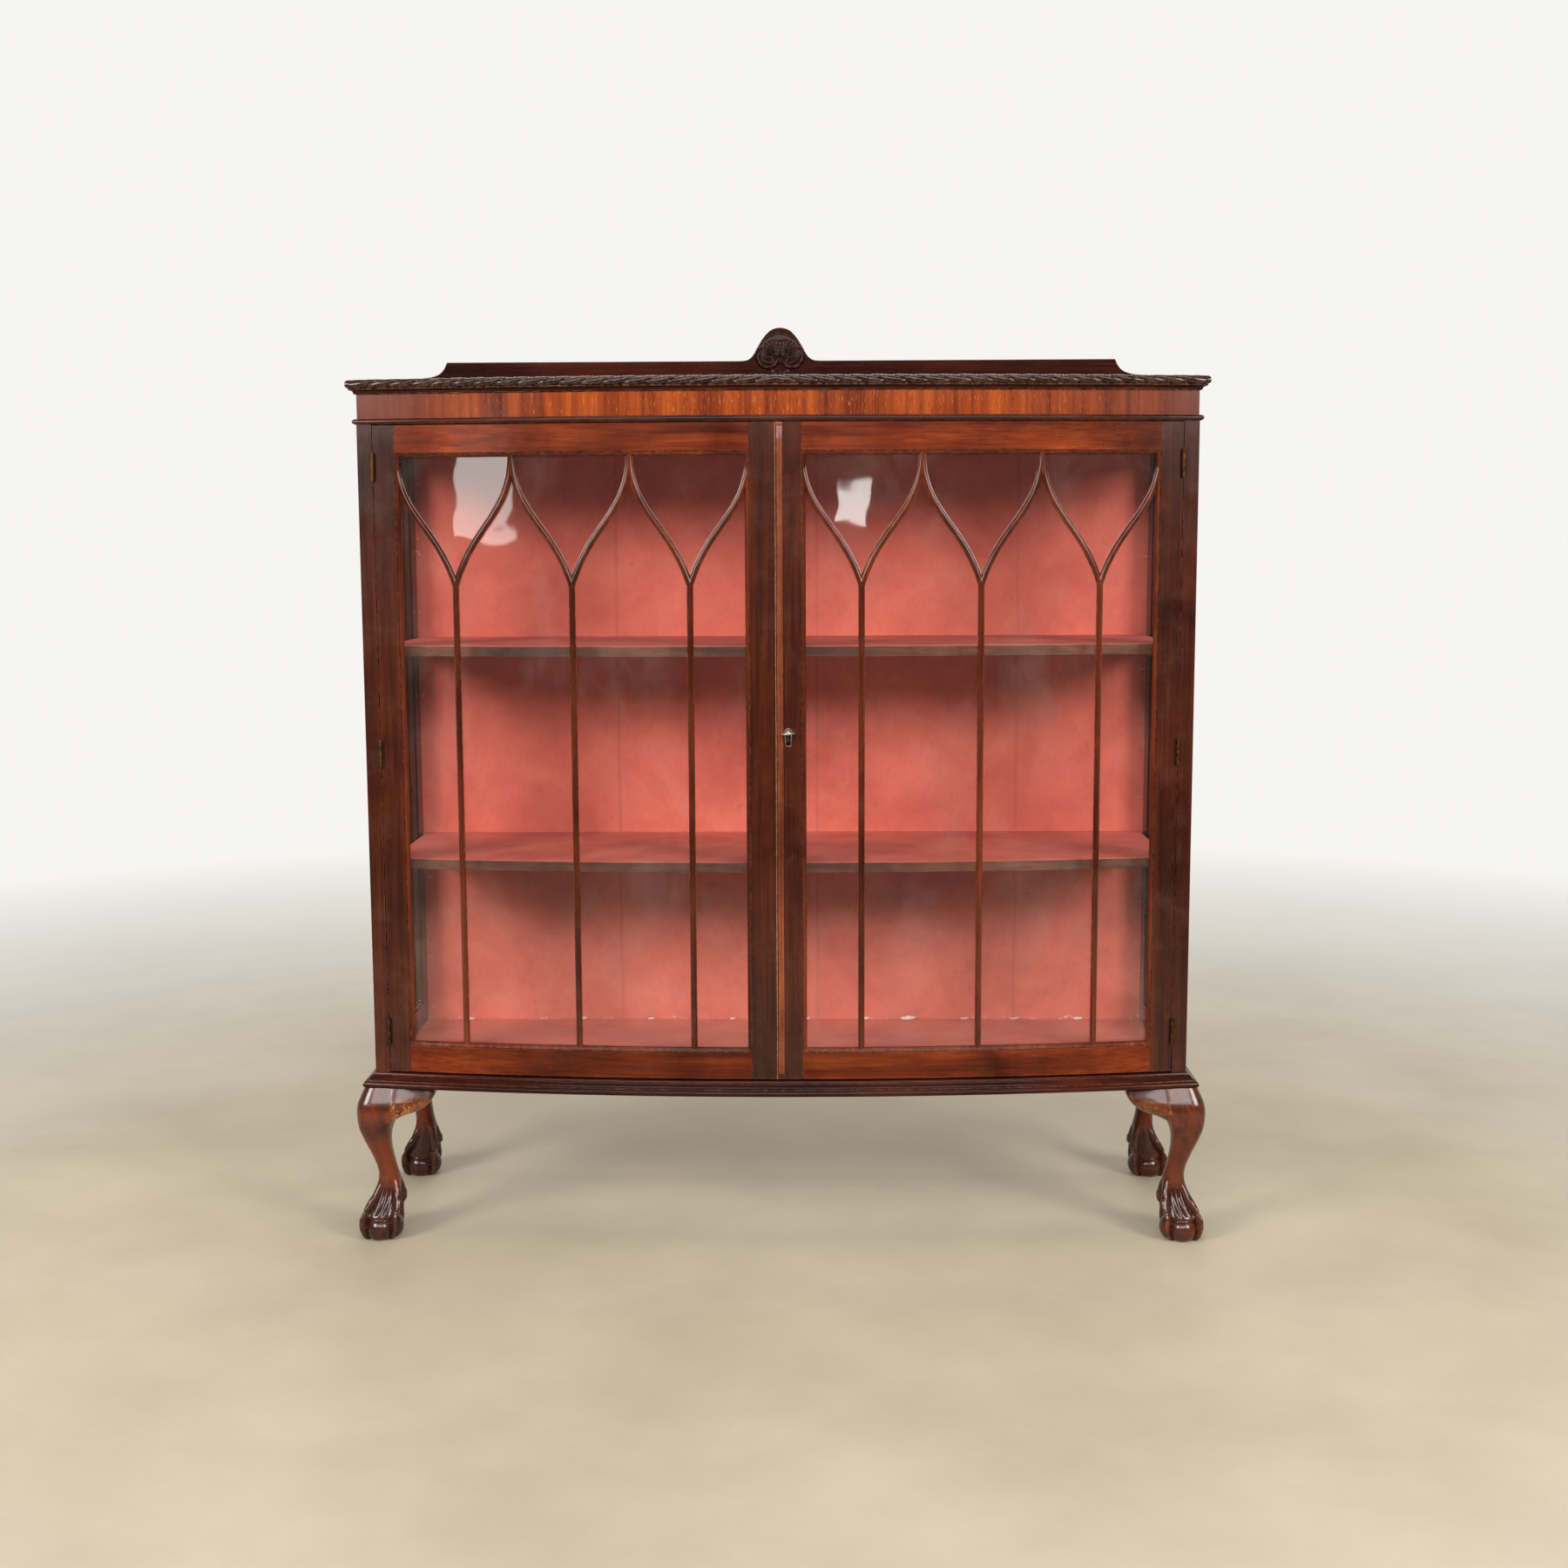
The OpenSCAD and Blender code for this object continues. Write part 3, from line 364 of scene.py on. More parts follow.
def veneer():
    """Cross-banded frieze veneer: upright streaks, orange in the middle and darker, greyer at the ends, where
    a painted reflection haze lies.
    """
    s = Shader("frieze_veneer_finish")
    bands = s.noise(s.stretched((1, 1, 0.03)), 34, 5, 0.6, 0.35)
    lines = s.noise(s.stretched((1, 1, 0.02)), 150, 5, 0.65, 0.2)
    flecks = s.noise(s.stretched((1, 1, 0.16)), 520, 3, 0.6, 0.4)
    body = s.plus(s.times(bands, 0.6), s.times(lines, 0.4))
    colour = s.ramp(body, (0.36, srgb(66, 23, 10)), (0.45, srgb(128, 50, 16)),
                    (0.55, srgb(168, 74, 24)), (0.68, srgb(196, 98, 36)))
    colour = s.mix(s.rise(flecks, 0.60, 0.72, 0.55), colour, srgb(232, 150, 84))
    colour = s.mix(s.fall(flecks, 0.30, 0.40, 0.6), colour, srgb(70, 26, 12))
    # painted reflection: a greyish haze laid over both ends of the frieze
    ends = s.rise(s.math("ABSOLUTE", s.part("X")), 0.30, 0.585)
    haze = s.noise(s.place, 12, 4, 0.6, 0.5)
    ends = s.times(ends, s.plus(haze, 0.32), True)
    colour = s.mix(ends, colour, srgb(98, 56, 48))
    lower = s.fall(s.part("Z"), 1.188, 1.197, 0.35)
    colour = s.mix(lower, colour, srgb(60, 24, 14))
    s.set(Base_Color=colour)
    s.set(Roughness=s.plus(s.times(haze, 0.22), 0.12))
    s.set(Coat_Weight=0.1, Coat_Roughness=0.08, Specular_IOR_Level=0.12)
    s.set(Normal=s.bump(lines, 0.15, 0.0003))
    return s.material


def lining(name, upright):
    """Worn coral paper: mottling, creases over the board seams, white torn edges."""
    s = Shader(name)
    cloud = s.noise(s.place, 9, 5, 0.6, 0.3)
    fibre = s.noise(s.stretched((1, 1, 0.25)), 300, 4, 0.7)
    colour = s.ramp(cloud, (0.30, srgb(198, 92, 79)), (0.52, srgb(217, 109, 94)),
                    (0.75, srgb(228, 125, 108)))
    colour = s.mix(s.rise(fibre, 0.52, 0.75, 0.35), colour, srgb(190, 78, 68))
    stains = s.noise(s.place, 30, 6, 0.7, 0.6)
    colour = s.mix(s.rise(stains, 0.60, 0.80, 0.5), colour, srgb(150, 66, 58))
    side = s.rise(s.math("ABSOLUTE", s.part("X")), 0.556, 0.568)
    if upright:
        wobble = s.times(s.math("SUBTRACT", s.noise(s.place, 14, 3), 0.5), 0.004)
        seam = None
        for seam_x in BOARD_SEAMS:
            off = s.math("ABSOLUTE", s.plus(s.math("SUBTRACT", s.part("X"), seam_x), wobble))
            line = s.fall(off, 0.0006, 0.0026)
            seam = line if seam is None else s.math("MAXIMUM", seam, line)
        colour = s.mix(s.times(seam, 0.35), colour, srgb(170, 84, 74))
        rim = s.math("MAXIMUM", side, s.fall(s.part("Z"), 0.257, 0.266))
    else:
        rim = s.math("MAXIMUM", side, s.rise(s.part("Y"), BACK - 0.027, BACK - 0.021))
    torn = s.rise(s.noise(s.place, 75, 6, 0.75, 0.8), 0.60, 0.64)
    torn = s.times(torn, rim)
    colour = s.mix(s.times(torn, 0.8), colour, srgb(232, 218, 204))
    s.set(Base_Color=colour, Roughness=0.82, Specular_IOR_Level=0.25)
    ripple = s.bump(s.noise(s.stretched((1, 1, 0.2)), 26, 4, 0.6), 0.25, 0.002)
    s.set(Normal=s.bump(s.plus(fibre, torn), 0.25, 0.0005, ripple))
    return s.material


def glass():
    """Old window glass seen straight through, with a wavy shine and a little haze."""
    s = Shader("clear_glass_finish")
    s.tree.nodes.remove(s.bsdf)
    clear = s.add("ShaderNodeBsdfTransparent", {"Color": (0.972, 0.975, 0.968, 1)})
    wave = s.bump(s.noise(s.place, 7, 2, 0.5), 0.12, 0.01)
    shine = s.add("ShaderNodeBsdfGlossy", {"Roughness": 0.025, "Color": (1, 1, 1, 1), "Normal": wave})
    facing = s.add("ShaderNodeLayerWeight", {"Blend": 0.5})
    grazing = s.math("POWER", facing.outputs["Facing"], 5.0)
    share = s.plus(s.times(grazing, 0.95), 0.042)
    pane = s.add("ShaderNodeMixShader", {"Fac": share, 1: clear.outputs["BSDF"], 2: shine.outputs["BSDF"]})
    dirt = s.add("ShaderNodeBsdfDiffuse", {"Color": srgb(210, 205, 196)})
    smear = s.ramp(s.noise(s.stretched((1, 1, 0.5)), 9, 6, 0.7, 0.6), (0.50, 0.004), (0.80, 0.035))
    whole = s.add("ShaderNodeMixShader", {"Fac": smear, 1: pane.outputs["Shader"], 2: dirt.outputs["BSDF"]})
    s.put(s.tree.nodes["Material Output"].inputs["Surface"], whole.outputs["Shader"])
    return s.material


def metal(name, bright, dull, spots, low_rough, spot_level=0.55):
    """Aged metal: bright where it is rubbed, dull and spotted elsewhere."""
    s = Shader(name)
    cloud = s.noise(s.place, 160, 5, 0.65, 0.3)
    pit = s.noise(s.place, 900, 4, 0.6)
    colour = s.ramp(cloud, (0.38, dull), (0.60, bright))
    colour = s.mix(s.rise(pit, spot_level, spot_level + 0.12, 0.85), colour, spots)
    colour = s.mix(s.times(edge_mask(s, 0.0005), 0.6), colour, bright)
    s.set(Base_Color=colour, Metallic=1.0)
    s.set(Roughness=s.plus(s.times(cloud, 0.35), low_rough))
    s.set(Normal=s.bump(pit, 0.2, 0.0002))
    return s.material


def paper():
    """Fibrous white backing paper."""
    s = Shader("torn_paper_finish")
    fibre = s.noise(s.place, 600, 4, 0.7)
    s.set(Base_Color=s.ramp(fibre, (0.35, srgb(206, 186, 168)), (0.65, srgb(242, 234, 222))), Roughness=0.9)
    s.set(Normal=s.bump(fibre, 0.3, 0.0004))
    return s.material


MAHOGANY = dict(dark=srgb(36, 14, 8), mid=srgb(70, 30, 17), light=srgb(98, 43, 24), worn_and_highlight=srgb(156, 88, 56))
RED = dict(dark=srgb(64, 22, 9), mid=srgb(118, 46, 18), light=srgb(158, 72, 30), worn_and_highlight=srgb(186, 112, 70))
# the carvings' pale rubbed colour also serves as a painted highlight on their ridges
CARVED = dict(dark=srgb(20, 9, 6), mid=srgb(44, 20, 13), light=srgb(66, 32, 20), worn_and_highlight=srgb(178, 134, 110))
DARK = dict(dark=srgb(20, 7, 4), mid=srgb(44, 15, 8), light=srgb(68, 26, 13), worn_and_highlight=srgb(150, 98, 72))
LEG = dict(dark=srgb(40, 15, 8), mid=srgb(80, 32, 17), light=srgb(118, 50, 25), worn_and_highlight=srgb(204, 124, 62))
PLAIN = dict(dark=srgb(70, 46, 30), mid=srgb(118, 84, 56), light=srgb(152, 114, 80), worn_and_highlight=srgb(176, 140, 104))

upright_wood = wood("mahogany_upright", "Z", **MAHOGANY, figure=0.35)
rail_wood = wood("mahogany_rail", "X", **RED, figure=0.5, streak_scale=48, dust=0.12, coat=0.1, shine=0.12)
side_rail_wood = wood("mahogany_side_rail", "Y", **MAHOGANY, figure=0.4)
BEAD = dict(dark=srgb(48, 18, 9), mid=srgb(94, 39, 20), light=srgb(134, 62, 32), worn_and_highlight=srgb(190, 118, 78))
bead_wood = wood("mahogany_bead", "Z", **BEAD, figure=0.35, streak_scale=110, gloss=0.14)
reed_wood = wood("mahogany_reed", "Z", **{**BEAD, "mid": srgb(132, 66, 40), "light": srgb(176, 98, 62)},
                 figure=0.4, streak_scale=90)
# very pale rubbed colour on the mouldings: painted highlight lines along their edges, with some rubbing
moulding_wood = wood("dark_moulding", "X", srgb(26, 9, 5), srgb(60, 22, 10), srgb(90, 35, 16),
                     srgb(214, 176, 156), figure=0.4, gloss=0.13, dust=0.03, wear_and_highlight_amount=0.85, coat=0.12,
                     shine=0.14)
string_wood = wood("string_moulding", "X", **MAHOGANY, figure=0.4, gloss=0.18)
gallery_wood = wood("dark_gallery", "X", **{**DARK, "mid": srgb(54, 18, 9), "light": srgb(78, 28, 13)},
                    figure=0.3, gloss=0.11, dust=0.03, coat=0.03, shine=0.05)
carved_wood = wood("dark_carved", "X", **CARVED, figure=0.3, gloss=0.13, carved=True, dust=0.15)
# the crest's pale rubbed colour is a painted highlight on its carved ridges
crest_wood = wood("dark_crest", "X", **{**CARVED, "worn_and_highlight": srgb(150, 112, 92)}, figure=0.3, gloss=0.08,
                  carved=True, dust=0.03, coat=0.03, shine=0.08)
edge_wood = wood("worn_stile_edge", "Z", srgb(120, 78, 52), srgb(176, 136, 102), srgb(206, 172, 136),
                 srgb(222, 200, 170), gloss=0.5)
leg_wood = wood("leg_polished", "Z", **LEG, figure=0.5, gloss=0.21, carved=True, dust=0.2, wear_and_highlight_amount=0.75,
                coat=0.32, shine=0.34, zones=(
                    (-0.1, 0.074, srgb(46, 19, 13), 0.8), (0.080, 0.158, srgb(126, 52, 20), 0.55),
                    (0.160, 0.178, srgb(50, 19, 12), 0.45), (0.178, 0.198, srgb(116, 43, 21), 0.6),
                    (0.200, 0.26, srgb(66, 25, 16), 0.75)))
block_wood = wood("knee_block_worn", "X", **LEG, figure=0.5, gloss=0.19, carved=True, dust=0.2, wear_and_highlight_amount=0.75,
                  coat=0.32, shine=0.34, rubbed=0.212, zones=(
                      (-0.1, 0.212, srgb(120, 52, 24), 0.5), (0.208, 0.26, srgb(66, 26, 17), 0.75)))
SHELF = dict(dark=srgb(58, 30, 22), mid=srgb(110, 66, 50), light=srgb(142, 90, 70), worn_and_highlight=srgb(166, 120, 96))
shelf_wood = wood("shelf_edge_wood", "X", **SHELF, figure=0.4, gloss=0.45)
back_wood = wood("back_board_wood", "Z", **PLAIN, figure=0.3, gloss=0.62, dust=0.35, patchy=0.25)
hidden_wood = wood("hidden_board_wood", "X", **PLAIN, figure=0.45, gloss=0.6, dust=0.4, patchy=0.3)
veneer_finish = veneer()
back_lining_finish = lining("back_lining_finish", True)
board_lining_finish = lining("board_lining_finish", False)
glass_finish = glass()
brass_finish = metal("aged_brass_finish", srgb(206, 164, 92), srgb(122, 88, 46), srgb(54, 36, 20), 0.22)
hinge_finish = metal("hinge_brass_finish", srgb(92, 66, 40), srgb(46, 30, 20), srgb(30, 19, 13), 0.36)
rim_finish = metal("keyhole_rim_finish", srgb(214, 186, 158), srgb(150, 116, 88), srgb(84, 58, 40), 0.22)
# near-black metal that paints the shade inside the keyhole
keyhole_shade_finish = metal("keyhole_painted_shade_finish", srgb(34, 26, 22), srgb(18, 13, 11), srgb(30, 18, 12), 0.5)
iron_finish = metal("lock_iron_finish", srgb(126, 120, 112), srgb(74, 68, 62), srgb(66, 38, 22), 0.35)
key_finish = metal("key_steel_finish", srgb(226, 220, 208), srgb(160, 152, 140), srgb(84, 58, 40), 0.18,
                   spot_level=0.62)
paper_finish = paper()


# ---------------- mouldings that wrap the front and sides

def front_strip(profile_at, count):
    """Strip along the curved front, mitred at both corners. profile_at(distance) gives rows of (out, z)."""
    rings = []
    for t in np.linspace(-1, 1, count + 1):
        prof = profile_at(abs(t) * HALF)
        x = (HALF + prof[:, 0]) * t
        rings.append(row(x, bow_y(x, prof[:, 0]), prof[:, 1]))
    return skin(rings)


def side_strip(profile_at, sign, count):
    """Strip along one side, from the mitre to the back."""
    rings = []
    for f in np.linspace(0, 1, count + 1):
        prof = profile_at(HALF + f * CASE_DEPTH)
        start = bow_y(HALF + prof[:, 0], prof[:, 0])
        rings.append(row(sign * (HALF + prof[:, 0]), start + (BACK - start) * f, prof[:, 1]))
    return skin(rings)


def moulding(name, outline, material):
    profile = rounded(np.array(outline) * MM, 0.22)
    parts = [front_strip(lambda s: profile, 96)]
    parts += [side_strip(lambda s: profile, sign, 12) for sign in (1, -1)]
    flat_faces(make(name, parts, "cabinet", material, [name.replace("_run", "")], 30))


def make_mouldings():
    moulding("base_moulding_run", [
        (-18, 228.5), (13.2, 228.5), (15.6, 229.4), (17, 232), (16.6, 234.6), (15, 236.8),
        (12.4, 237.4), (12.4, 239), (11, 239.4), (8.8, 240.8), (7, 243), (5.4, 244.8),
        (3.6, 245.4), (3.6, 246.6), (2.8, 248.2), (1.2, 249), (-18, 249)],
        moulding_wood)
    moulding("bead_moulding_run", [
        (-19, 1180), (2.2, 1180), (2.2, 1180.9), (4.0, 1181.2), (5.2, 1183), (5.2, 1185),
        (4.0, 1186.8), (2.4, 1187.2), (2.2, 1188), (-19, 1188)], string_wood)
    moulding("cornice_moulding_run", [
        (-0.4, 1222), (2.6, 1222), (2.6, 1223.6), (3.4, 1225.6), (5.2, 1226.8), (7.4, 1227.2),
        (8.8, 1227.6), (9.2, 1230), (-0.4, 1230)], moulding_wood)
    panel = rounded_box(-19 * MM, -1 * MM, 1.188, 1.222, 0.4 * MM)
    flat_faces(make("frieze_front_panel", [front_strip(lambda s: panel, 120)], "cabinet",
                    veneer_finish, ["frieze_front"]))


GADROON_PITCH = 0.0295
GADROON_EDGE = [(8.6, 1230), (11, 1230.7), (12.5, 1233), (12.7, 1236), (11.6, 1239), (9, 1240.9), (4, 1241.5)]


def make_gadroon():
    """Carved edge: slanting lobes that lean towards the centre and meet in an arch."""
    curve = spline(np.array(GADROON_EDGE) * MM, 22)
    t = np.linspace(0, 1, len(curve))
    tangent = np.gradient(curve, axis=0)
    normal = np.stack([tangent[:, 1], -tangent[:, 0]], axis=1)
    normal /= np.linalg.norm(normal, axis=1)[:, None]
    window = smoothstep(0, 0.06, t) * (1 - smoothstep(0.86, 1, t))
    inner = np.array([(-0.0004, 1.2413), (-0.0004, 1.230)])

    def profile_at(s):
        """Section of the edge at a distance from the middle of the front."""
        phase = s / GADROON_PITCH + 1.15 * t ** 2.1
        u = phase - np.floor(phase)
        lobe = np.clip(1 - np.abs(2 * u - 1) ** 2.4, 0, 1) ** 0.6 - 0.82
        plain = smoothstep(HALF - 0.016, HALF - 0.004, s) * (1 - smoothstep(HALF + 0.012, HALF + 0.024, s))
        height = 3.2 * MM * lobe * window * (1 - plain)
        return np.vstack([curve + normal * height[:, None], inner])

    parts = [front_strip(profile_at, 1000), side_strip(profile_at, 1, 240), side_strip(profile_at, -1, 240)]
    make("gadroon_edge_carved", parts, "cabinet", carved_wood, ["gadroon_edge"], 50)


# ---------------- doors

def bow_bar(x0, x1, z0, z1, near, far, r=0.0006, count=40):
    """Bar between two depths behind the door faces, curved like the front."""
    full = rounded_box(far, near, z0, z1, r)
    small = rounded_box(far + r, near - r, z0 + r, z1 - r, r * 0.5)
    xs = np.concatenate([[x0], np.linspace(x0 + r, x1 - r, count), [x1]])
    rings = []
    for i, x in enumerate(xs):
        prof = small if i in (0, len(xs) - 1) else full
        rings.append(row(x, bow_y(x, prof[:, 0]), prof[:, 1]))
    return skin(rings)


def glazing_ring(opening, profile):
    """Mitred frame round a glass opening. The profile is (inset from the opening's edge, out)."""
    x0, x1 = opening
    z0, z1 = OPEN_Z
    t = np.linspace(0, 1, 28, endpoint=False)
    rings = []
    for f in t:
        rings.append([(x0 + a + (x1 - x0 - 2 * a) * f, z0 + a, o) for a, o in profile])
    for f in t[::4]:
        rings.append([(x1 - a, z0 + a + (z1 - z0 - 2 * a) * f, o) for a, o in profile])
    for f in t:
        rings.append([(x1 - a - (x1 - x0 - 2 * a) * f, z1 - a, o) for a, o in profile])
    for f in t[::4]:
        rings.append([(x0 + a, z1 - a - (z1 - z0 - 2 * a) * f, o) for a, o in profile])
    p = np.array(rings)
    return skin(row(p[..., 0], bow_y(p[..., 0], p[..., 2]), p[..., 1]), closed=True)


FRONT_BEAD = rounded([(0, -9), (0, -1.8), (1.3, -1.8), (1.5, -2.6), (3.2, -2.9), (4.8, -4.2), (5.6, -6.2),
                      (6, -6.8), (6, -9)], 0.22) * MM
REAR_BEAD = rounded([(0, -12), (4.4, -12), (4.4, -14.5), (3.6, -17), (2.2, -18.6), (0, -19)], 0.2) * MM
ASTRAGAL = [(-4.5, -9), (-4.5, -7.2), (-3.7, -6.9)] + [
    (-3.7 * math.cos(math.radians(a)), -6.9 + 4.1 * math.sin(math.radians(a)))
    for a in range(15, 180, 15)] + [(3.7, -6.9), (4.5, -7.2), (4.5, -9)]
FORK_Z = 0.955
BAYS = 3


def astragal(path, width=1.0):
    """Half-round bar along a path of (x, z) points, on the curve of the door."""
    p = np.asarray(path, float)
    step = np.gradient(p, axis=0)
    step /= np.linalg.norm(step, axis=1)[:, None]
    across = np.stack([step[:, 1], -step[:, 0]], axis=1)
    prof = np.array(ASTRAGAL) * MM
    rings = []
    for point, side in zip(p, across):
        xz = point + np.outer(prof[:, 0] * width, side)
        rings.append(row(xz[:, 0], bow_y(xz[:, 0], prof[:, 1]), xz[:, 1]))
    return skin(rings)


def branch(stem_x, apex_x):
    """Path of one branch: leaves the stem upright, swings out and ends upright at the apex."""
    pts = []
    for t in np.linspace(0, 1, 44):
        sx = 3 * (1 - t) ** 2 * t * 0.32 + 3 * (1 - t) * t * t * 1.0 + t ** 3
        sz = 3 * (1 - t) ** 2 * t * 0.47 + 3 * (1 - t) * t * t * 0.53 + t ** 3
        pts.append((stem_x + (apex_x - stem_x) * sx, FORK_Z + (OPEN_Z[1] + 0.001 - FORK_Z) * sz))
    return pts


def make_door(side, opening):
    """Rails, pane, glazing beads and Gothic tracery of one door."""
    body = side + "_door"
    x0, x1 = opening
    rails = [bow_bar(x0, x1, z0, z1, 0, -DOOR_THICK)
             for z0, z1 in ((DOOR_Z[0], OPEN_Z[0]), (OPEN_Z[1], DOOR_Z[1]))]
    flat_faces(make(side + "_rails", rails, body, rail_wood, [side + "_door_rails"]))
    gap = 0.4 * MM
    pane = bow_bar(x0 + gap, x1 - gap, OPEN_Z[0] + gap, OPEN_Z[1] - gap, -0.009, -0.012, 0.0002, 72)
    flat_faces(make(side + "_pane", [pane], body, glass_finish, [side + "_glass"], 20))
    beads = [glazing_ring(opening, FRONT_BEAD), glazing_ring(opening, REAR_BEAD)]
    make(side + "_glazing", beads, body, bead_wood, [side + "_glazing_beads"], 40)
    bay = (x1 - x0) / BAYS
    bars = []
    for i in range(BAYS):
        stem = x0 + (i + 0.5) * bay
        zs = np.linspace(OPEN_Z[0] - 0.001, FORK_Z + 0.004, 12)
        bars.append(astragal([(stem, z) for z in zs]))
        bars.append(astragal(branch(stem, x0 + i * bay), 1.04))
        bars.append(astragal(branch(stem, x0 + (i + 1) * bay), 1.04))
    make(side + "_tracery", bars, body, bead_wood, [side + "_fretwork"], 50)


def make_closing_bead():
    """Reeded strip on the right door's meeting edge, chipped at its top."""
    lo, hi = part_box("closing_bead")
    width = hi.x - lo.x
    section = [(0, -0.0), (0, 2.2)]
    for reed in range(2):
        centre = 2.35 + 3.3 * reed
        section += [(centre + 1.65 * math.cos(math.radians(a)), 1.9 + 1.6 * math.sin(math.radians(a)))
                    for a in range(165, 0, -30)]
    section += [(width / MM, 2.0), (width / MM, 0)]
    prof = np.array(section) * MM
    prof[:, 0] += lo.x
    rings = []
    zs = np.concatenate([[lo.z, lo.z + 0.001], np.linspace(lo.z + 0.003, hi.z - 0.012, 60),
                         hi.z - np.array([0.009, 0.006, 0.004, 0.002, 0.0008, 0])])
    for z in zs:
        taper = 1 - 0.35 * smoothstep(hi.z - 0.012, hi.z, z) - 0.3 * bell(z, hi.z - 0.007, 0.0025)
        taper = taper * (0.75 + 0.25 * smoothstep(lo.z, lo.z + 0.0015, z))
        rings.append(row(prof[:, 0], bow_y(prof[:, 0], prof[:, 1] * taper), z))
    make("closing_bead_reeded", [skin(rings)], "right_door", reed_wood,
         ["closing_bead"], 50)


def make_stile_edge():
    """Pale worn edge of the left meeting stile, shallow beside the strike plate."""
    x0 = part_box("left_meeting_stile")[1].x
    low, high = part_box("strike_plate")
    bars = [bow_bar(x0, x0 + 0.9 * MM, z0, z1, 0, -DOOR_THICK, 0.2 * MM, 3)
            for z0, z1 in ((DOOR_Z[0], low.z - 0.001), (high.z + 0.001, DOOR_Z[1]))]
    bars.append(bow_bar(x0, x0 + 0.9 * MM, low.z - 0.9 * MM, high.z + 0.9 * MM, 0, -4.5 * MM, 0.2 * MM, 3))
    flat_faces(make("left_stile_worn_edge", bars, "left_door", edge_wood))


def keyhole_outline(x, z, r, top, low, drop):
    """Keyhole shape with a round head and a tapered slot, as (x, z) pairs."""
    a0 = math.asin(min(1, top / 2 / r))
    pts = [(x + r * math.sin(a), z - r * math.cos(a)) for a in np.linspace(a0, 2 * math.pi - a0, 30)]
    pts += [(x - low / 2, z - drop + 0.0004), (x - low / 2 + 0.0003, z - drop)]
    return np.array(pts + [(x + low / 2 - 0.0003, z - drop), (x + low / 2, z - drop + 0.0004)])


def make_escutcheon():
    """Thin inlaid rim round a tapered keyhole whose inner faces are near black: painted shade."""
    lo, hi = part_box("escutcheon")
    x, r = (lo.x + hi.x) / 2, 5.5 * MM
    z = hi.z - r
    front, deep, back = lo.y, lo.y + 2.2 * MM, hi.y
    outer = keyhole_outline(x, z, r, 10 * MM, 8 * MM, 20 * MM)
    lip = keyhole_outline(x, z, 5.3 * MM, 9.6 * MM, 7.6 * MM, 19.8 * MM)
    inner = keyhole_outline(x, z, 4.5 * MM, 8.0 * MM, 6.2 * MM, 19.0 * MM)
    slot = keyhole_outline(x, z, 2.9 * MM, 3.6 * MM, 3.4 * MM, 15 * MM)
    rows = [(outer, back), (outer, front + 0.2 * MM), (lip, front), (inner, front), (inner, deep),
            (slot, deep), (slot, back), (outer, back)]
    rings = [row(shape[:, 0], y, shape[:, 1]) for shape, y in rows]
    piece = make("escutcheon_rim", [skin(rings, False)], "right_door", rim_finish,
                 ["escutcheon"], 30)
    # painted shade: faces deep inside the keyhole get the near-black finish
    piece.data.materials.append(keyhole_shade_finish)
    for face in piece.data.polygons:
        if face.center.y > front + 0.0012:
            face.material_index = 1
    weld(piece)


# ---------------- legs

LEG_ROWS = np.array([
    # height, outer reach, inner reach, squareness
    (228.5, 16, -30, 3.4), (214, 22.5, -30, 3.3), (204, 26.4, -30, 3.2), (194, 28, -29.6, 3.0),
    (184, 28, -28.6, 2.9), (174, 26.8, -25.4, 2.8), (165, 25, -21.8, 2.7), (153, 21, -19.9, 2.6),
    (141, 16.4, -19.6, 2.6), (129, 11.6, -20.4, 2.55), (117, 7.4, -22.2, 2.5), (105, 4, -24.4, 2.35),
    (94, 2.8, -27, 2.15), (84, 3.6, -29.6, 2.0), (72, 5, -30, 2.0), (60, 8, -29, 2), (48, 14, -28, 2),
    (36, 21, -26, 2), (24, 22, -25.6, 2), (0, 22, -25.6, 2)])
TOE_REACH = [  # height, reach
    (0, 27), (2, 29.5), (8, 34), (16, 37.4), (24, 38.6), (32, 38), (38, 36.4), (42, 34.6), (43.4, 34),
    (45, 36), (50, 35.6), (56, 32.6), (62, 28.8), (70, 24.8), (78, 21), (86, 18.2), (96, 16)]
TOE_HALF_ANGLE = [  # height, degrees
    (0, 5), (6, 5.8), (20, 6.8), (36, 7.4), (42, 8), (46, 11), (56, 14), (74, 20), (96, 30)]
WEB_REACH = [  # height, reach
    (0, 22), (14, 24), (30, 24.4), (34, 25.6), (42, 23.8), (52, 20.6), (62, 18), (74, 16.2), (86, 15.8),
    (96, 15.4)]
ANKLE_Z = 96
BALL_R, BALL_OUT, BALL_Z = 20.5, 11.6, 16


def curve_at(table, z):
    """Value at a height, or other distance, from a table that rises in it."""
    return np.interp(z, *zip(*table))


LEG_DENSE = spline(LEG_ROWS[::-1], 400)


def smooth_rows(z):
    """Outer reach, inner reach and squareness of a leg at a height, without kinks."""
    return [np.interp(z, LEG_DENSE[:, 0], LEG_DENSE[:, k]) for k in (1, 2, 3)]


def flank_power(z, power):
    """Squareness towards the knee blocks, where the leg stays flat up to the joint."""
    return power + 7 * smoothstep(170, 186, z)


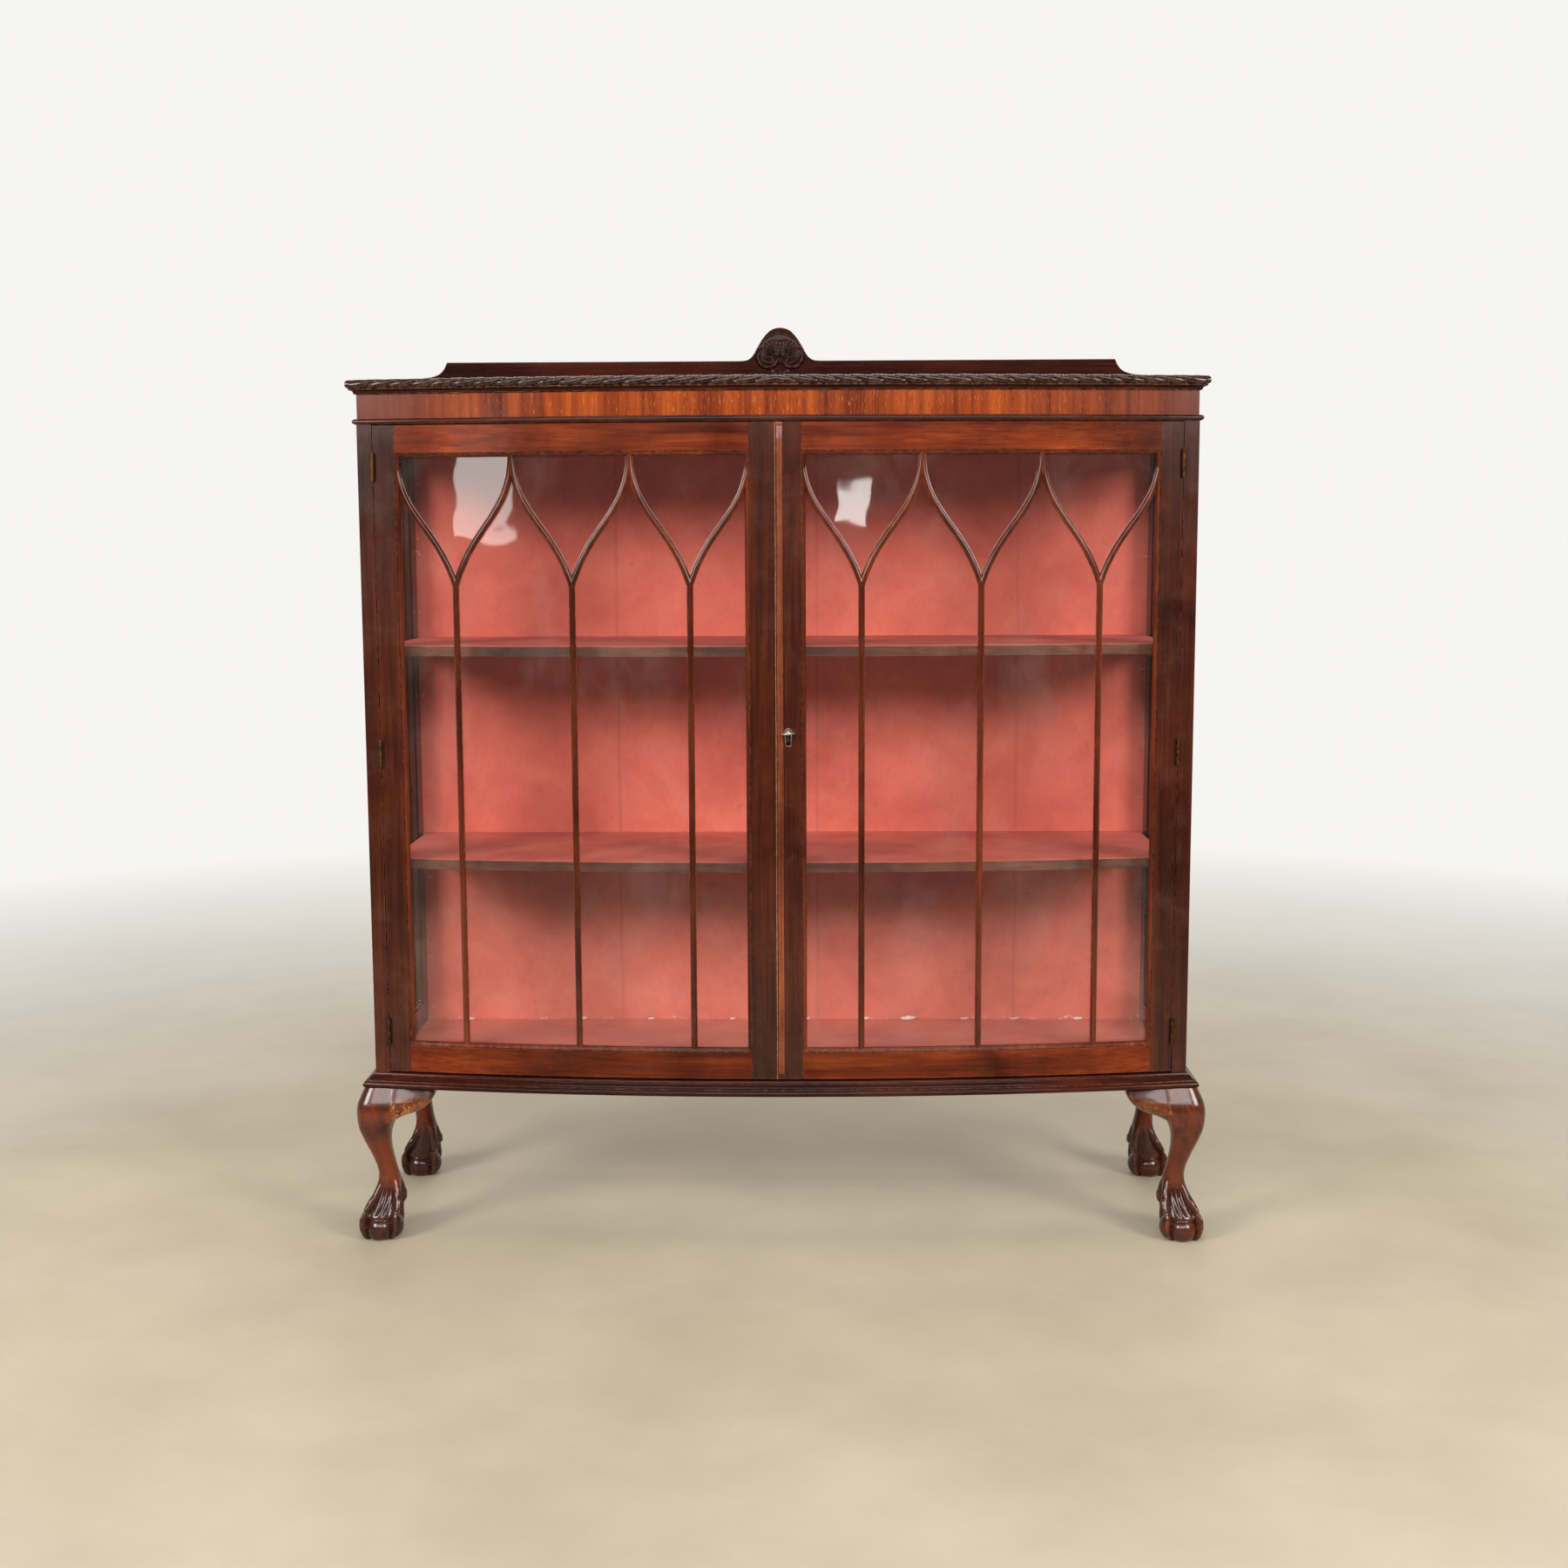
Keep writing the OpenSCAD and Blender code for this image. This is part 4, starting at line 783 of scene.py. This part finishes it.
def foot_radius(phi, z):
    """Reach of the ball, the web and the four toes at an angle round the foot, in mm."""
    toe_off = phi % 90 - 45
    mid_off = 45 - np.abs(toe_off)
    web = curve_at(WEB_REACH, z)
    outward = smoothstep(-0.1, 0.6, np.cos(np.radians(phi - 45)))
    ridges = 0.5 + 0.5 * np.cos(np.radians(mid_off * 360 / 23))
    tendon = 3.0 * (ridges ** 1.3 - 0.45) * bell(z, 52, 16) * outward * smoothstep(34, 40, z)
    web = web + tendon
    toe = curve_at(TOE_REACH, z)
    across = np.clip(np.abs(toe_off) / curve_at(TOE_HALF_ANGLE, z), 0, 2)
    nail = np.where(across < 1, (1 - across ** 2.4), 0) ** 0.8
    side_knuckle = 1.2 * bell(z, 59, 3.2) * bell(toe_off, 0, 11)
    radius = web + (toe - web) * nail + side_knuckle
    turn = np.radians(mid_off)
    chord = BALL_R ** 2 - (z - BALL_Z) ** 2 - (BALL_OUT * np.sin(turn)) ** 2
    ball = BALL_OUT * np.cos(turn) + np.sqrt(np.clip(chord, 0, None))
    return np.maximum(ball, radius)


def leg_part(sign_x, origin_y, sign_y):
    """One leg, lofted: squarish knee, slim ankle, and a ball gripped by four toes."""
    count = 240
    phi = np.linspace(0, 360, count, endpoint=False)
    heights = np.concatenate([np.arange(0, 64, 1.25), np.arange(64, 100, 2), np.arange(100, 228, 4), [228.5]])
    rings = []
    for z in heights:
        outer, inner, power = smooth_rows(z)
        centre = (outer + inner) / 2
        cos, sin = np.cos(np.radians(phi)), np.sin(np.radians(phi))
        flank = cos * sin < 0
        local = np.where(flank, flank_power(z, power), power)
        squared = (np.abs(cos) ** local + np.abs(sin) ** local) ** (-1 / local)
        radius = (outer - inner) / 2 * squared
        foot = foot_radius(phi, z)
        share = smoothstep(74, ANKLE_Z, z)
        radius = radius * share + foot * (1 - share)
        if z < 5:
            radius = radius * (1 - 0.04 * ((5 - z) / 5) ** 2)
        limit = -25 if z > 186 else -25 - 12 * smoothstep(186, 174, z)
        u = np.maximum(centre + radius * cos, limit)
        v = np.maximum(centre + radius * sin, limit)
        rings.append(row(sign_x * (HALF + u * MM), origin_y + sign_y * v * MM, z * MM))
    return skin(rings)


def make_legs():
    """The four legs, turned out from their corners."""
    for name, sign_x, y, sign_y in (
            ("leg_front_left", -1, CORNER, -1), ("leg_front_right", 1, CORNER, -1),
            ("leg_rear_left", -1, REAR_LEG_Y, 1), ("leg_rear_right", 1, REAR_LEG_Y, 1)):
        piece = make(name + "_carved", [leg_part(sign_x, y, sign_y)], "cabinet", leg_wood,
                     [name], 62)
        soften = piece.modifiers.new("soften", "SMOOTH")
        soften.factor = 0.35
        soften.iterations = 1


BLOCK_LOW = [  # distance from the corner, height of the lower edge
    (25, 179.5), (34, 183), (44, 186.6), (54, 189.8), (64, 193.8), (72, 198.8), (79, 205), (84, 211.4),
    (87, 217.6), (88, 223), (88.6, 228.5)]


def knee_face(z):
    """How far the knee stands out of the corner plane beside a block, at a height."""
    outer, inner, power = smooth_rows(z)
    centre, r = (outer + inner) / 2, (outer - inner) / 2
    u = np.clip((-25 - centre) / r, -0.97, 0)
    square = flank_power(z, power)
    return centre + r * (1 - abs(u) ** square) ** (1 / square)


def knee_block(to_world, bow):
    """Ear beside a knee. to_world turns (distance from the corner, reach, z) in mm into a point."""
    rings = []
    ds = np.concatenate([np.linspace(25, 84, 26), [85.5, 86.8, 87.6, 88.2]])
    for d in ds:
        zb = curve_at(BLOCK_LOW, d)
        if d > 87:
            zb = min(zb, 219)
        share = (d - 25) / 63
        ring = []
        top = BASE_Z / MM
        for k in np.linspace(0, 1, 22):
            z = zb + (top - zb) * k
            proud = knee_face(z) - bow(25)
            far = 10.6 - 6.4 * smoothstep(204, 232, z)
            flow = smoothstep(0, 0.9, share)
            reach = proud * (1 - flow) + far * flow
            roll = 1 - (1 - min(1, k / 0.42)) ** 2.2 * 0.85 * smoothstep(-0.25, 0.4, share)
            end = 1 - 0.55 * smoothstep(0.90, 1.0, share)
            ring.append((d, bow(d) + reach * roll * end, z))
        ring.append((d, bow(d) - 13, top))
        ring.append((d, bow(d) - 13, zb))
        rings.append([to_world(*p) for p in ring])
    return skin(rings)


def make_knee_blocks():
    """Two blocks beside each front leg and one beside each rear leg."""
    def bow(d):
        return (CORNER - bow_y(HALF - d * MM, 0)) / MM

    parts = []
    for sx in (1, -1):
        parts.append(knee_block(lambda d, out, z: (sx * (HALF - d * MM), CORNER - out * MM, z * MM), bow))
        for start, step in ((CORNER, MM), (REAR_LEG_Y, -MM)):
            parts.append(knee_block(
                lambda d, out, z: (sx * (HALF + out * MM), start + d * step, z * MM), lambda d: 0))
    make("knee_blocks_carved", parts, "cabinet", block_wood, ["knee_blocks"], 45)


# ---------------- gallery and crest

CREST = [(0, 1341), (7.6, 1340), (15, 1336.8), (20.9, 1331.5), (26.4, 1325), (31.8, 1316.6), (36.2, 1309),
         (40, 1302), (44.6, 1296.3), (51, 1292.3), (61, 1291)]
TAIL = [(514, 1291), (518.6, 1281.5), (526, 1273.6), (538, 1269), (552, 1267.4), (564, 1265.4), (575, 1258.4),
        (585, 1243)]


def make_gallery():
    """Shaped board that stands along the back of the top, with eased edges."""
    lo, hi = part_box("gallery_board")
    side = np.vstack([spline(CREST, 46), [(514 - 6, 1291), (514, 1291)], spline(TAIL, 34)[1:],
                      [(586, 1240.6)]]) * MM
    outline = np.vstack([side, side[::-1][:-1] * (-1, 1)])
    edge = np.roll(outline, -1, axis=0) - np.roll(outline, 1, axis=0)
    inward = np.stack([edge[:, 1], -edge[:, 0]], axis=1)
    inward /= np.linalg.norm(inward, axis=1)[:, None]
    rings = []
    for inset, y in ((1.4, lo.y), (0.4, lo.y + 0.0004), (0, lo.y + 0.0014), (0, hi.y - 0.0012), (1.0, hi.y)):
        shape = outline + inward * inset * MM
        rings.append(row(shape[:, 0], y, shape[:, 1]))
    flat_faces(make("gallery_board_shaped", [skin(rings)], "cabinet", gallery_wood,
                    ["gallery_board"], 34))


def shell_height(x, z):
    """Relief of the crest's shell in mm, mirrored about x = 0: lobes, scrolls, eyes, rays and leaf."""
    ax = np.abs(x)
    dome_d = np.sqrt((x / 38) ** 2 + ((z - 1300) / 41) ** 2)
    fan = 3.2 * np.sqrt(np.clip(1 - (dome_d / 0.92) ** 2, 0, 1)) * smoothstep(1284, 1300, z)
    lobe_d = np.hypot(ax - 18.6, z - 1296.4)
    lobe = 3.6 * np.sqrt(np.clip(1 - (lobe_d / 19.2) ** 2, 0, 1))
    height = np.maximum(fan, lobe)
    turn = np.degrees(np.arctan2(z - 1296.4, ax - 18.6))
    scroll = bell(lobe_d, 15.9, 2.7) * smoothstep(60, 10, turn) * smoothstep(-175, -150, turn)
    height = height + 2.6 * scroll
    groove = bell(lobe_d, 12.0, 1.0) * smoothstep(60, 20, turn) * smoothstep(-178, -150, turn)
    height = height - 1.0 * groove
    inner_d = np.hypot(ax - 15.0, z - 1302)
    inner_turn = np.degrees(np.arctan2(z - 1302, ax - 15.0))
    height = height + 1.1 * bell(inner_d, 15.0, 0.8) * smoothstep(25, -10, inner_turn)
    ray_x, ray_z = ax - 6.8, z - 1296.5
    ray_r = np.hypot(ray_x, ray_z)
    ray_a = np.degrees(np.arctan2(ray_x, ray_z))
    rays = 0.5 + 0.5 * np.cos(np.radians((ray_a - 4) * 360 / 13.5))
    length = 27 - 8 * smoothstep(35, 80, ray_a)
    reach = smoothstep(4.5, 7.0, ray_r) * (1 - smoothstep(length - 4, length, ray_r))
    reach = reach * smoothstep(92, 80, ray_a) * smoothstep(-24, -14, ray_a)
    height = height + 2.1 * (rays ** 5 - 0.25) * reach
    eye = np.hypot(ax - 7.2, z - 1295.6)
    height = height - 4.2 * (1 - smoothstep(3.2, 4.4, eye))
    rim = np.hypot(x, (z - 1300) * 1.04)
    height = height - 0.5 * bell(rim, 32.5, 0.7) * smoothstep(1300, 1306, z)
    pillar = bell(x, 0, 1.3) * smoothstep(1284, 1288, z) * (1 - smoothstep(1306, 1316, z))
    height = height + 2.2 * pillar
    cusp = np.hypot(x, (z - 1284) * 1.1)
    height = height - 2.0 * bell(cusp, 0, 2.2)
    lean = np.radians(38)
    la = (ax - 9.4) * np.cos(lean) + (z - 1273.4) * np.sin(lean)
    lb = -(ax - 9.4) * np.sin(lean) + (z - 1273.4) * np.cos(lean)
    leaf_d = (la / 7.4) ** 2 + (lb / 3.6) ** 2
    leaf = 3.4 * np.sqrt(np.clip(1 - leaf_d, 0, 1)) - 0.9 * bell(lb, 0, 0.7) * (leaf_d < 1)
    knot = 3.2 * np.sqrt(np.clip(1 - (x / 3.4) ** 2 - ((z - 1272.4) / 4.2) ** 2, 0, 1))
    height = np.maximum(height, np.maximum(leaf, knot))
    return height


def make_shell():
    """Carved relief on the crest, on a grid that narrows with the crest's outline."""
    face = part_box("gallery_board")[0].y
    outline = spline(CREST, 200)
    zs = np.arange(1267, 1337.6, 0.55)
    limit = np.minimum(39.5, np.interp(zs, outline[::-1, 1], outline[::-1, 0]) - 0.8)
    gx = np.linspace(-1, 1, 141)[None, :] * limit[:, None]
    gz = np.repeat(zs[:, None], 141, axis=1)
    height = shell_height(gx, gz)
    gx, gz = gx * MM, gz * MM
    front = face - height * MM + 0.0006
    back = face + 4 * MM
    m, n = gx.shape
    verts = np.concatenate([row(gx, front, gz).reshape(-1, 3), row(gx, back, gz).reshape(-1, 3)])
    faces = []
    total = m * n
    for i in range(m - 1):
        for j in range(n - 1):
            a, b, c, d = i * n + j, i * n + j + 1, (i + 1) * n + j + 1, (i + 1) * n + j
            faces.append((a, b, c, d))
            faces.append((total + d, total + c, total + b, total + a))
    rim = [j for j in range(n)] + [i * n + n - 1 for i in range(1, m)]
    rim += [(m - 1) * n + j for j in range(n - 2, -1, -1)] + [i * n for i in range(m - 2, 0, -1)]
    for k, a in enumerate(rim):
        b = rim[(k + 1) % len(rim)]
        faces.append((a, b, total + b, total + a))
    make("shell_carving_relief", [(verts, faces)], "cabinet", crest_wood,
         ["shell_carving"], 60)


# ---------------- key

def turned(rows, x, y, z):
    """Turned piece that runs back from a point. The rows are (distance, radius)."""
    angles = np.linspace(0, 2 * math.pi, 28, endpoint=False)
    return skin([row(x + r * np.sin(angles), y + t, z + r * np.cos(angles)) for t, r in rows])


KEY_TILT = 0.07


def make_key():
    """Ring-bow key: oval bow, collars, stem and bit, in the rest position."""
    lo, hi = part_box("key")
    bow_r = 0.0105
    x = lo.x + bow_r
    z = 0.750
    centre_y = lo.y + bow_r
    tube = 0.0021
    ring_r = bow_r - tube
    rings = []
    for a in np.linspace(0, 2 * math.pi, 48, endpoint=False):
        b = np.linspace(0, 2 * math.pi, 14, endpoint=False)
        r = ring_r + tube * np.cos(b)
        sway = r * math.cos(a) * KEY_TILT
        lift = sway + 1.3 * MM * np.sin(b)
        rings.append(row(x + r * math.cos(a), centre_y + r * math.sin(a), z + lift))
    ring_bow = skin(rings, closed=True)
    start = centre_y + ring_r
    length = (hi.y - start) / MM
    rows = np.array([(0, 1.6), (1, 2.6), (2.8, 3), (3.6, 2.4), (4.6, 2.4), (5.4, 3.4), (6.6, 3.4),
                     (7.2, 2.25), (length - 0.6, 2.25), (length, 1.7)]) * MM
    stem = turned(rows, x, start, z)
    bit_rings = []
    for reach, inset in ((0, 0), (6.6, 0), (7, 0.3)):
        shape = rounded_box(hi.y - (8.8 - inset) * MM, hi.y - (2.6 + inset) * MM,
                            z - (1.1 - inset) * MM, z + (1.1 - inset) * MM, 0.3 * MM)
        bit_rings.append(row(x + reach * MM, shape[:, 0], shape[:, 1]))
    make("key_ring_bow", [ring_bow, stem, skin(bit_rings)], "key", key_finish, ["key"], 45)


# ---------------- torn paper at the lining's edges

TEAR_SPOTS = [  # x, size
    (0.20, 1.0), (0.13, 0.8), (0.37, 0.6), (-0.32, 0.8), (-0.08, 0.5), (0.47, 0.7), (-0.50, 0.6),
    (0.29, 0.5), (-0.21, 0.4), (0.04, 0.4)]
TEAR_THICK = 0.3 * MM
FLOOR_LINING_TOP = 0.2568


def make_tears():
    """Small curled flakes of white backing paper where the lining has come away."""
    rng = np.random.default_rng(7)
    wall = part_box("back_lining")[0].y
    parts = []
    for x, size in TEAR_SPOTS:
        length = 0.022 * size * rng.uniform(0.8, 1.3)
        rings = []
        curl = rng.uniform(0.5, 1.2)
        turn = rng.uniform(-0.5, 0.5)
        for t in np.linspace(0, 1, 10):
            w = 0.0035 * size * (0.25 + math.sin(math.pi * min(1, t * 0.9 + 0.08))) * rng.uniform(0.7, 1.2)
            cx = x + (t - 0.5) * length
            cy = wall - 0.004 - 0.006 * abs(t - 0.5) * curl + turn * 0.004 * t
            cz = FLOOR_LINING_TOP + 0.0008 + 0.004 * curl * (t - 0.4) ** 2 * 2
            near, far, high = cy - w, cy + w * 0.3, cz + w * 0.9
            rings.append([(cx, near, cz), (cx, far, high), (cx, far, high + TEAR_THICK),
                          (cx, near, cz + TEAR_THICK)])
        parts.append(skin(rings))
    make("lining_tears", parts, "cabinet", paper_finish)


# ---------------- CAD nodes that stay

def dress(nodes, material, bevel=0.0006):
    """Softened edges and a finish for CAD nodes whose shape is right."""
    for name in nodes:
        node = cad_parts[name]
        node.data.materials.clear()
        node.data.materials.append(material)
        weld(node)
        if bevel:
            soft = node.modifiers.new("soft_edge", "BEVEL")
            soft.width = bevel
            soft.segments = 2
            soft.limit_method = "ANGLE"
            soft.angle_limit = math.radians(40)
        flat_faces(node)


def dress_frame():
    """Finishes of the CAD nodes that keep their own mesh."""
    dress(["top_board"], moulding_wood, 0)
    dress(["frieze_sides"], veneer_finish, 0.0004)
    dress(["head_rail", "base_frame", "shelf_cleats", "bottom_board"], hidden_wood, 0)
    dress(["front_post_left", "front_post_right", "rear_posts", "left_hinge_stile", "left_meeting_stile",
           "right_hinge_stile", "right_meeting_stile"], upright_wood)
    dress(["side_rails"], side_rail_wood)
    dress(["side_glazing_beads"], bead_wood, 0.0008)
    dress(["side_glass_left", "side_glass_right"], glass_finish, 0)
    dress(["back_boards"], back_wood)
    dress(["back_lining"], back_lining_finish, 0)
    dress(["board_linings"], board_lining_finish, 0)
    dress(["shelf_upper", "shelf_lower"], shelf_wood)
    dress(["case_hinge_leaves", "hinge_pins", "case_hinge_screws", "left_hinge_leaves",
           "right_hinge_leaves"], hinge_finish, 0.0002)
    dress(["left_door_screws", "strike_plate", "surface_bolt_plates", "top_bolt", "bottom_bolt",
           "right_door_screws", "lock_bolt"], brass_finish, 0.0002)
    dress(["lock_case"], iron_finish, 0.0003)


# ---------------- stage, light and camera

FLOOR_R = 9


def make_stage():
    """Round pale floor that fades out towards its rim."""
    mesh = bpy.data.meshes.new("floor")
    angles = np.linspace(0, 2 * math.pi, 96, endpoint=False)
    ring = [(FLOOR_R * math.cos(a), FLOOR_R * math.sin(a), 0) for a in angles]
    mesh.from_pydata(ring, [], [tuple(range(96))])
    floor = link("floor", mesh)
    s = Shader("floor_finish")
    cloud = s.noise(s.place, 2.2, 5, 0.6)
    s.set(Base_Color=s.ramp(cloud, (0.35, srgb(168, 156, 134)), (0.65, srgb(182, 170, 148))), Roughness=0.75)
    ground = s.add("ShaderNodeVectorMath", {0: s.place}, operation="LENGTH")
    s.set(Alpha=s.fall(s.math("DIVIDE", ground.outputs["Value"], FLOOR_R), 0.12, 0.42))
    mesh.materials.append(s.material)


def make_world():
    """Near white where the camera sees it. For light and reflections, a room darker in front than behind."""
    world = bpy.data.worlds.new("room")
    bpy.context.scene.world = world
    world.use_nodes = True
    world.node_tree.nodes.clear()
    w = Nodes(world.node_tree, "Generated")
    depth = w.add("ShaderNodeMath", {0: w.part("Y"), 1: 0.5, 2: 0.5}, operation="MULTIPLY_ADD").outputs[0]
    colour = w.ramp(depth, (0.25, (0.09, 0.088, 0.085, 1)), (0.75, (0.50, 0.495, 0.48, 1)))
    room = w.add("ShaderNodeBackground", {"Color": colour})
    seen = w.add("ShaderNodeBackground", {"Color": srgb(246, 245, 241)})
    path = w.add("ShaderNodeLightPath")
    mixed = w.add("ShaderNodeMixShader", {
        "Fac": path.outputs["Is Camera Ray"], 1: room.outputs[0], 2: seen.outputs[0]})
    w.add("ShaderNodeOutputWorld", {"Surface": mixed.outputs[0]})


def area(name, place, aim, width, height, power, colour=(1, 1, 1)):
    light = bpy.data.lights.new(name, "AREA")
    light.shape = "RECTANGLE"
    light.size, light.size_y = width, height
    light.energy = power
    light.color = colour
    lamp = link(name, light)
    lamp.location = place
    lamp.visible_camera = False
    lamp.rotation_euler = (Vector(aim) - Vector(place)).to_track_quat("-Z", "Y").to_euler()


def make_lights():
    """Two soft boxes, a long front light, two small windows that show in the panes, and fill lights."""
    aim = (0, 0, 0.7)
    area("soft_left", (-2.75, -2.75, 2.15), aim, 1.3, 1.3, 108, (1, 0.975, 0.94))
    area("soft_right", (2.75, -2.75, 2.15), aim, 1.3, 1.3, 108, (1, 0.975, 0.94))
    area("soft_front", (0, -3.4, 2.2), aim, 3.4, 0.9, 78, (1, 0.98, 0.95))
    area("window_left", (-1.70, -3.2, 1.22), (-0.41, -0.14, 1.09), 0.32, 0.36, 1.6, (1, 0.98, 0.94))
    area("window_right", (0.336, -3.2, 1.126), (0.10, -0.16, 1.07), 0.18, 0.12, 0.5, (1, 0.98, 0.94))
    area("soft_top", (0, -0.2, 4.2), aim, 2.6, 2.0, 50)
    area("soft_back", (0, 3.6, 2.4), aim, 2.6, 1.6, 60)


CAMERA_AT = (0.0547, -2.9055, 1.0177)
CAMERA_TURN = (-0.0167, 0.124, 0.0042)


def make_camera():
    """Camera in front of the cabinet, above its middle and tilted a little down."""
    data = bpy.data.cameras.new("camera")
    data.lens = 45.0
    data.sensor_width = 36
    camera = link("camera", data)
    yaw, pitch, roll = CAMERA_TURN
    forward = Vector((math.sin(yaw) * math.cos(pitch), math.cos(yaw) * math.cos(pitch), -math.sin(pitch)))
    right = Vector((math.cos(yaw), -math.sin(yaw), 0))
    down = forward.cross(right)
    level = right * math.cos(roll) + down * math.sin(roll)
    drop = down * math.cos(roll) - right * math.sin(roll)
    turn = Matrix((level, -drop, -forward)).transposed()
    camera.matrix_world = Matrix.Translation(CAMERA_AT) @ turn.to_4x4()
    bpy.context.scene.camera = camera


make_mouldings()
make_gadroon()
make_door("left", LEFT_OPEN)
make_door("right", RIGHT_OPEN)
make_closing_bead()
make_stile_edge()
make_escutcheon()
make_legs()
make_knee_blocks()
make_gallery()
make_shell()
make_key()
make_tears()
dress_frame()
make_stage()
make_world()
make_lights()
make_camera()
bpy.context.scene.view_settings.view_transform = "Standard"
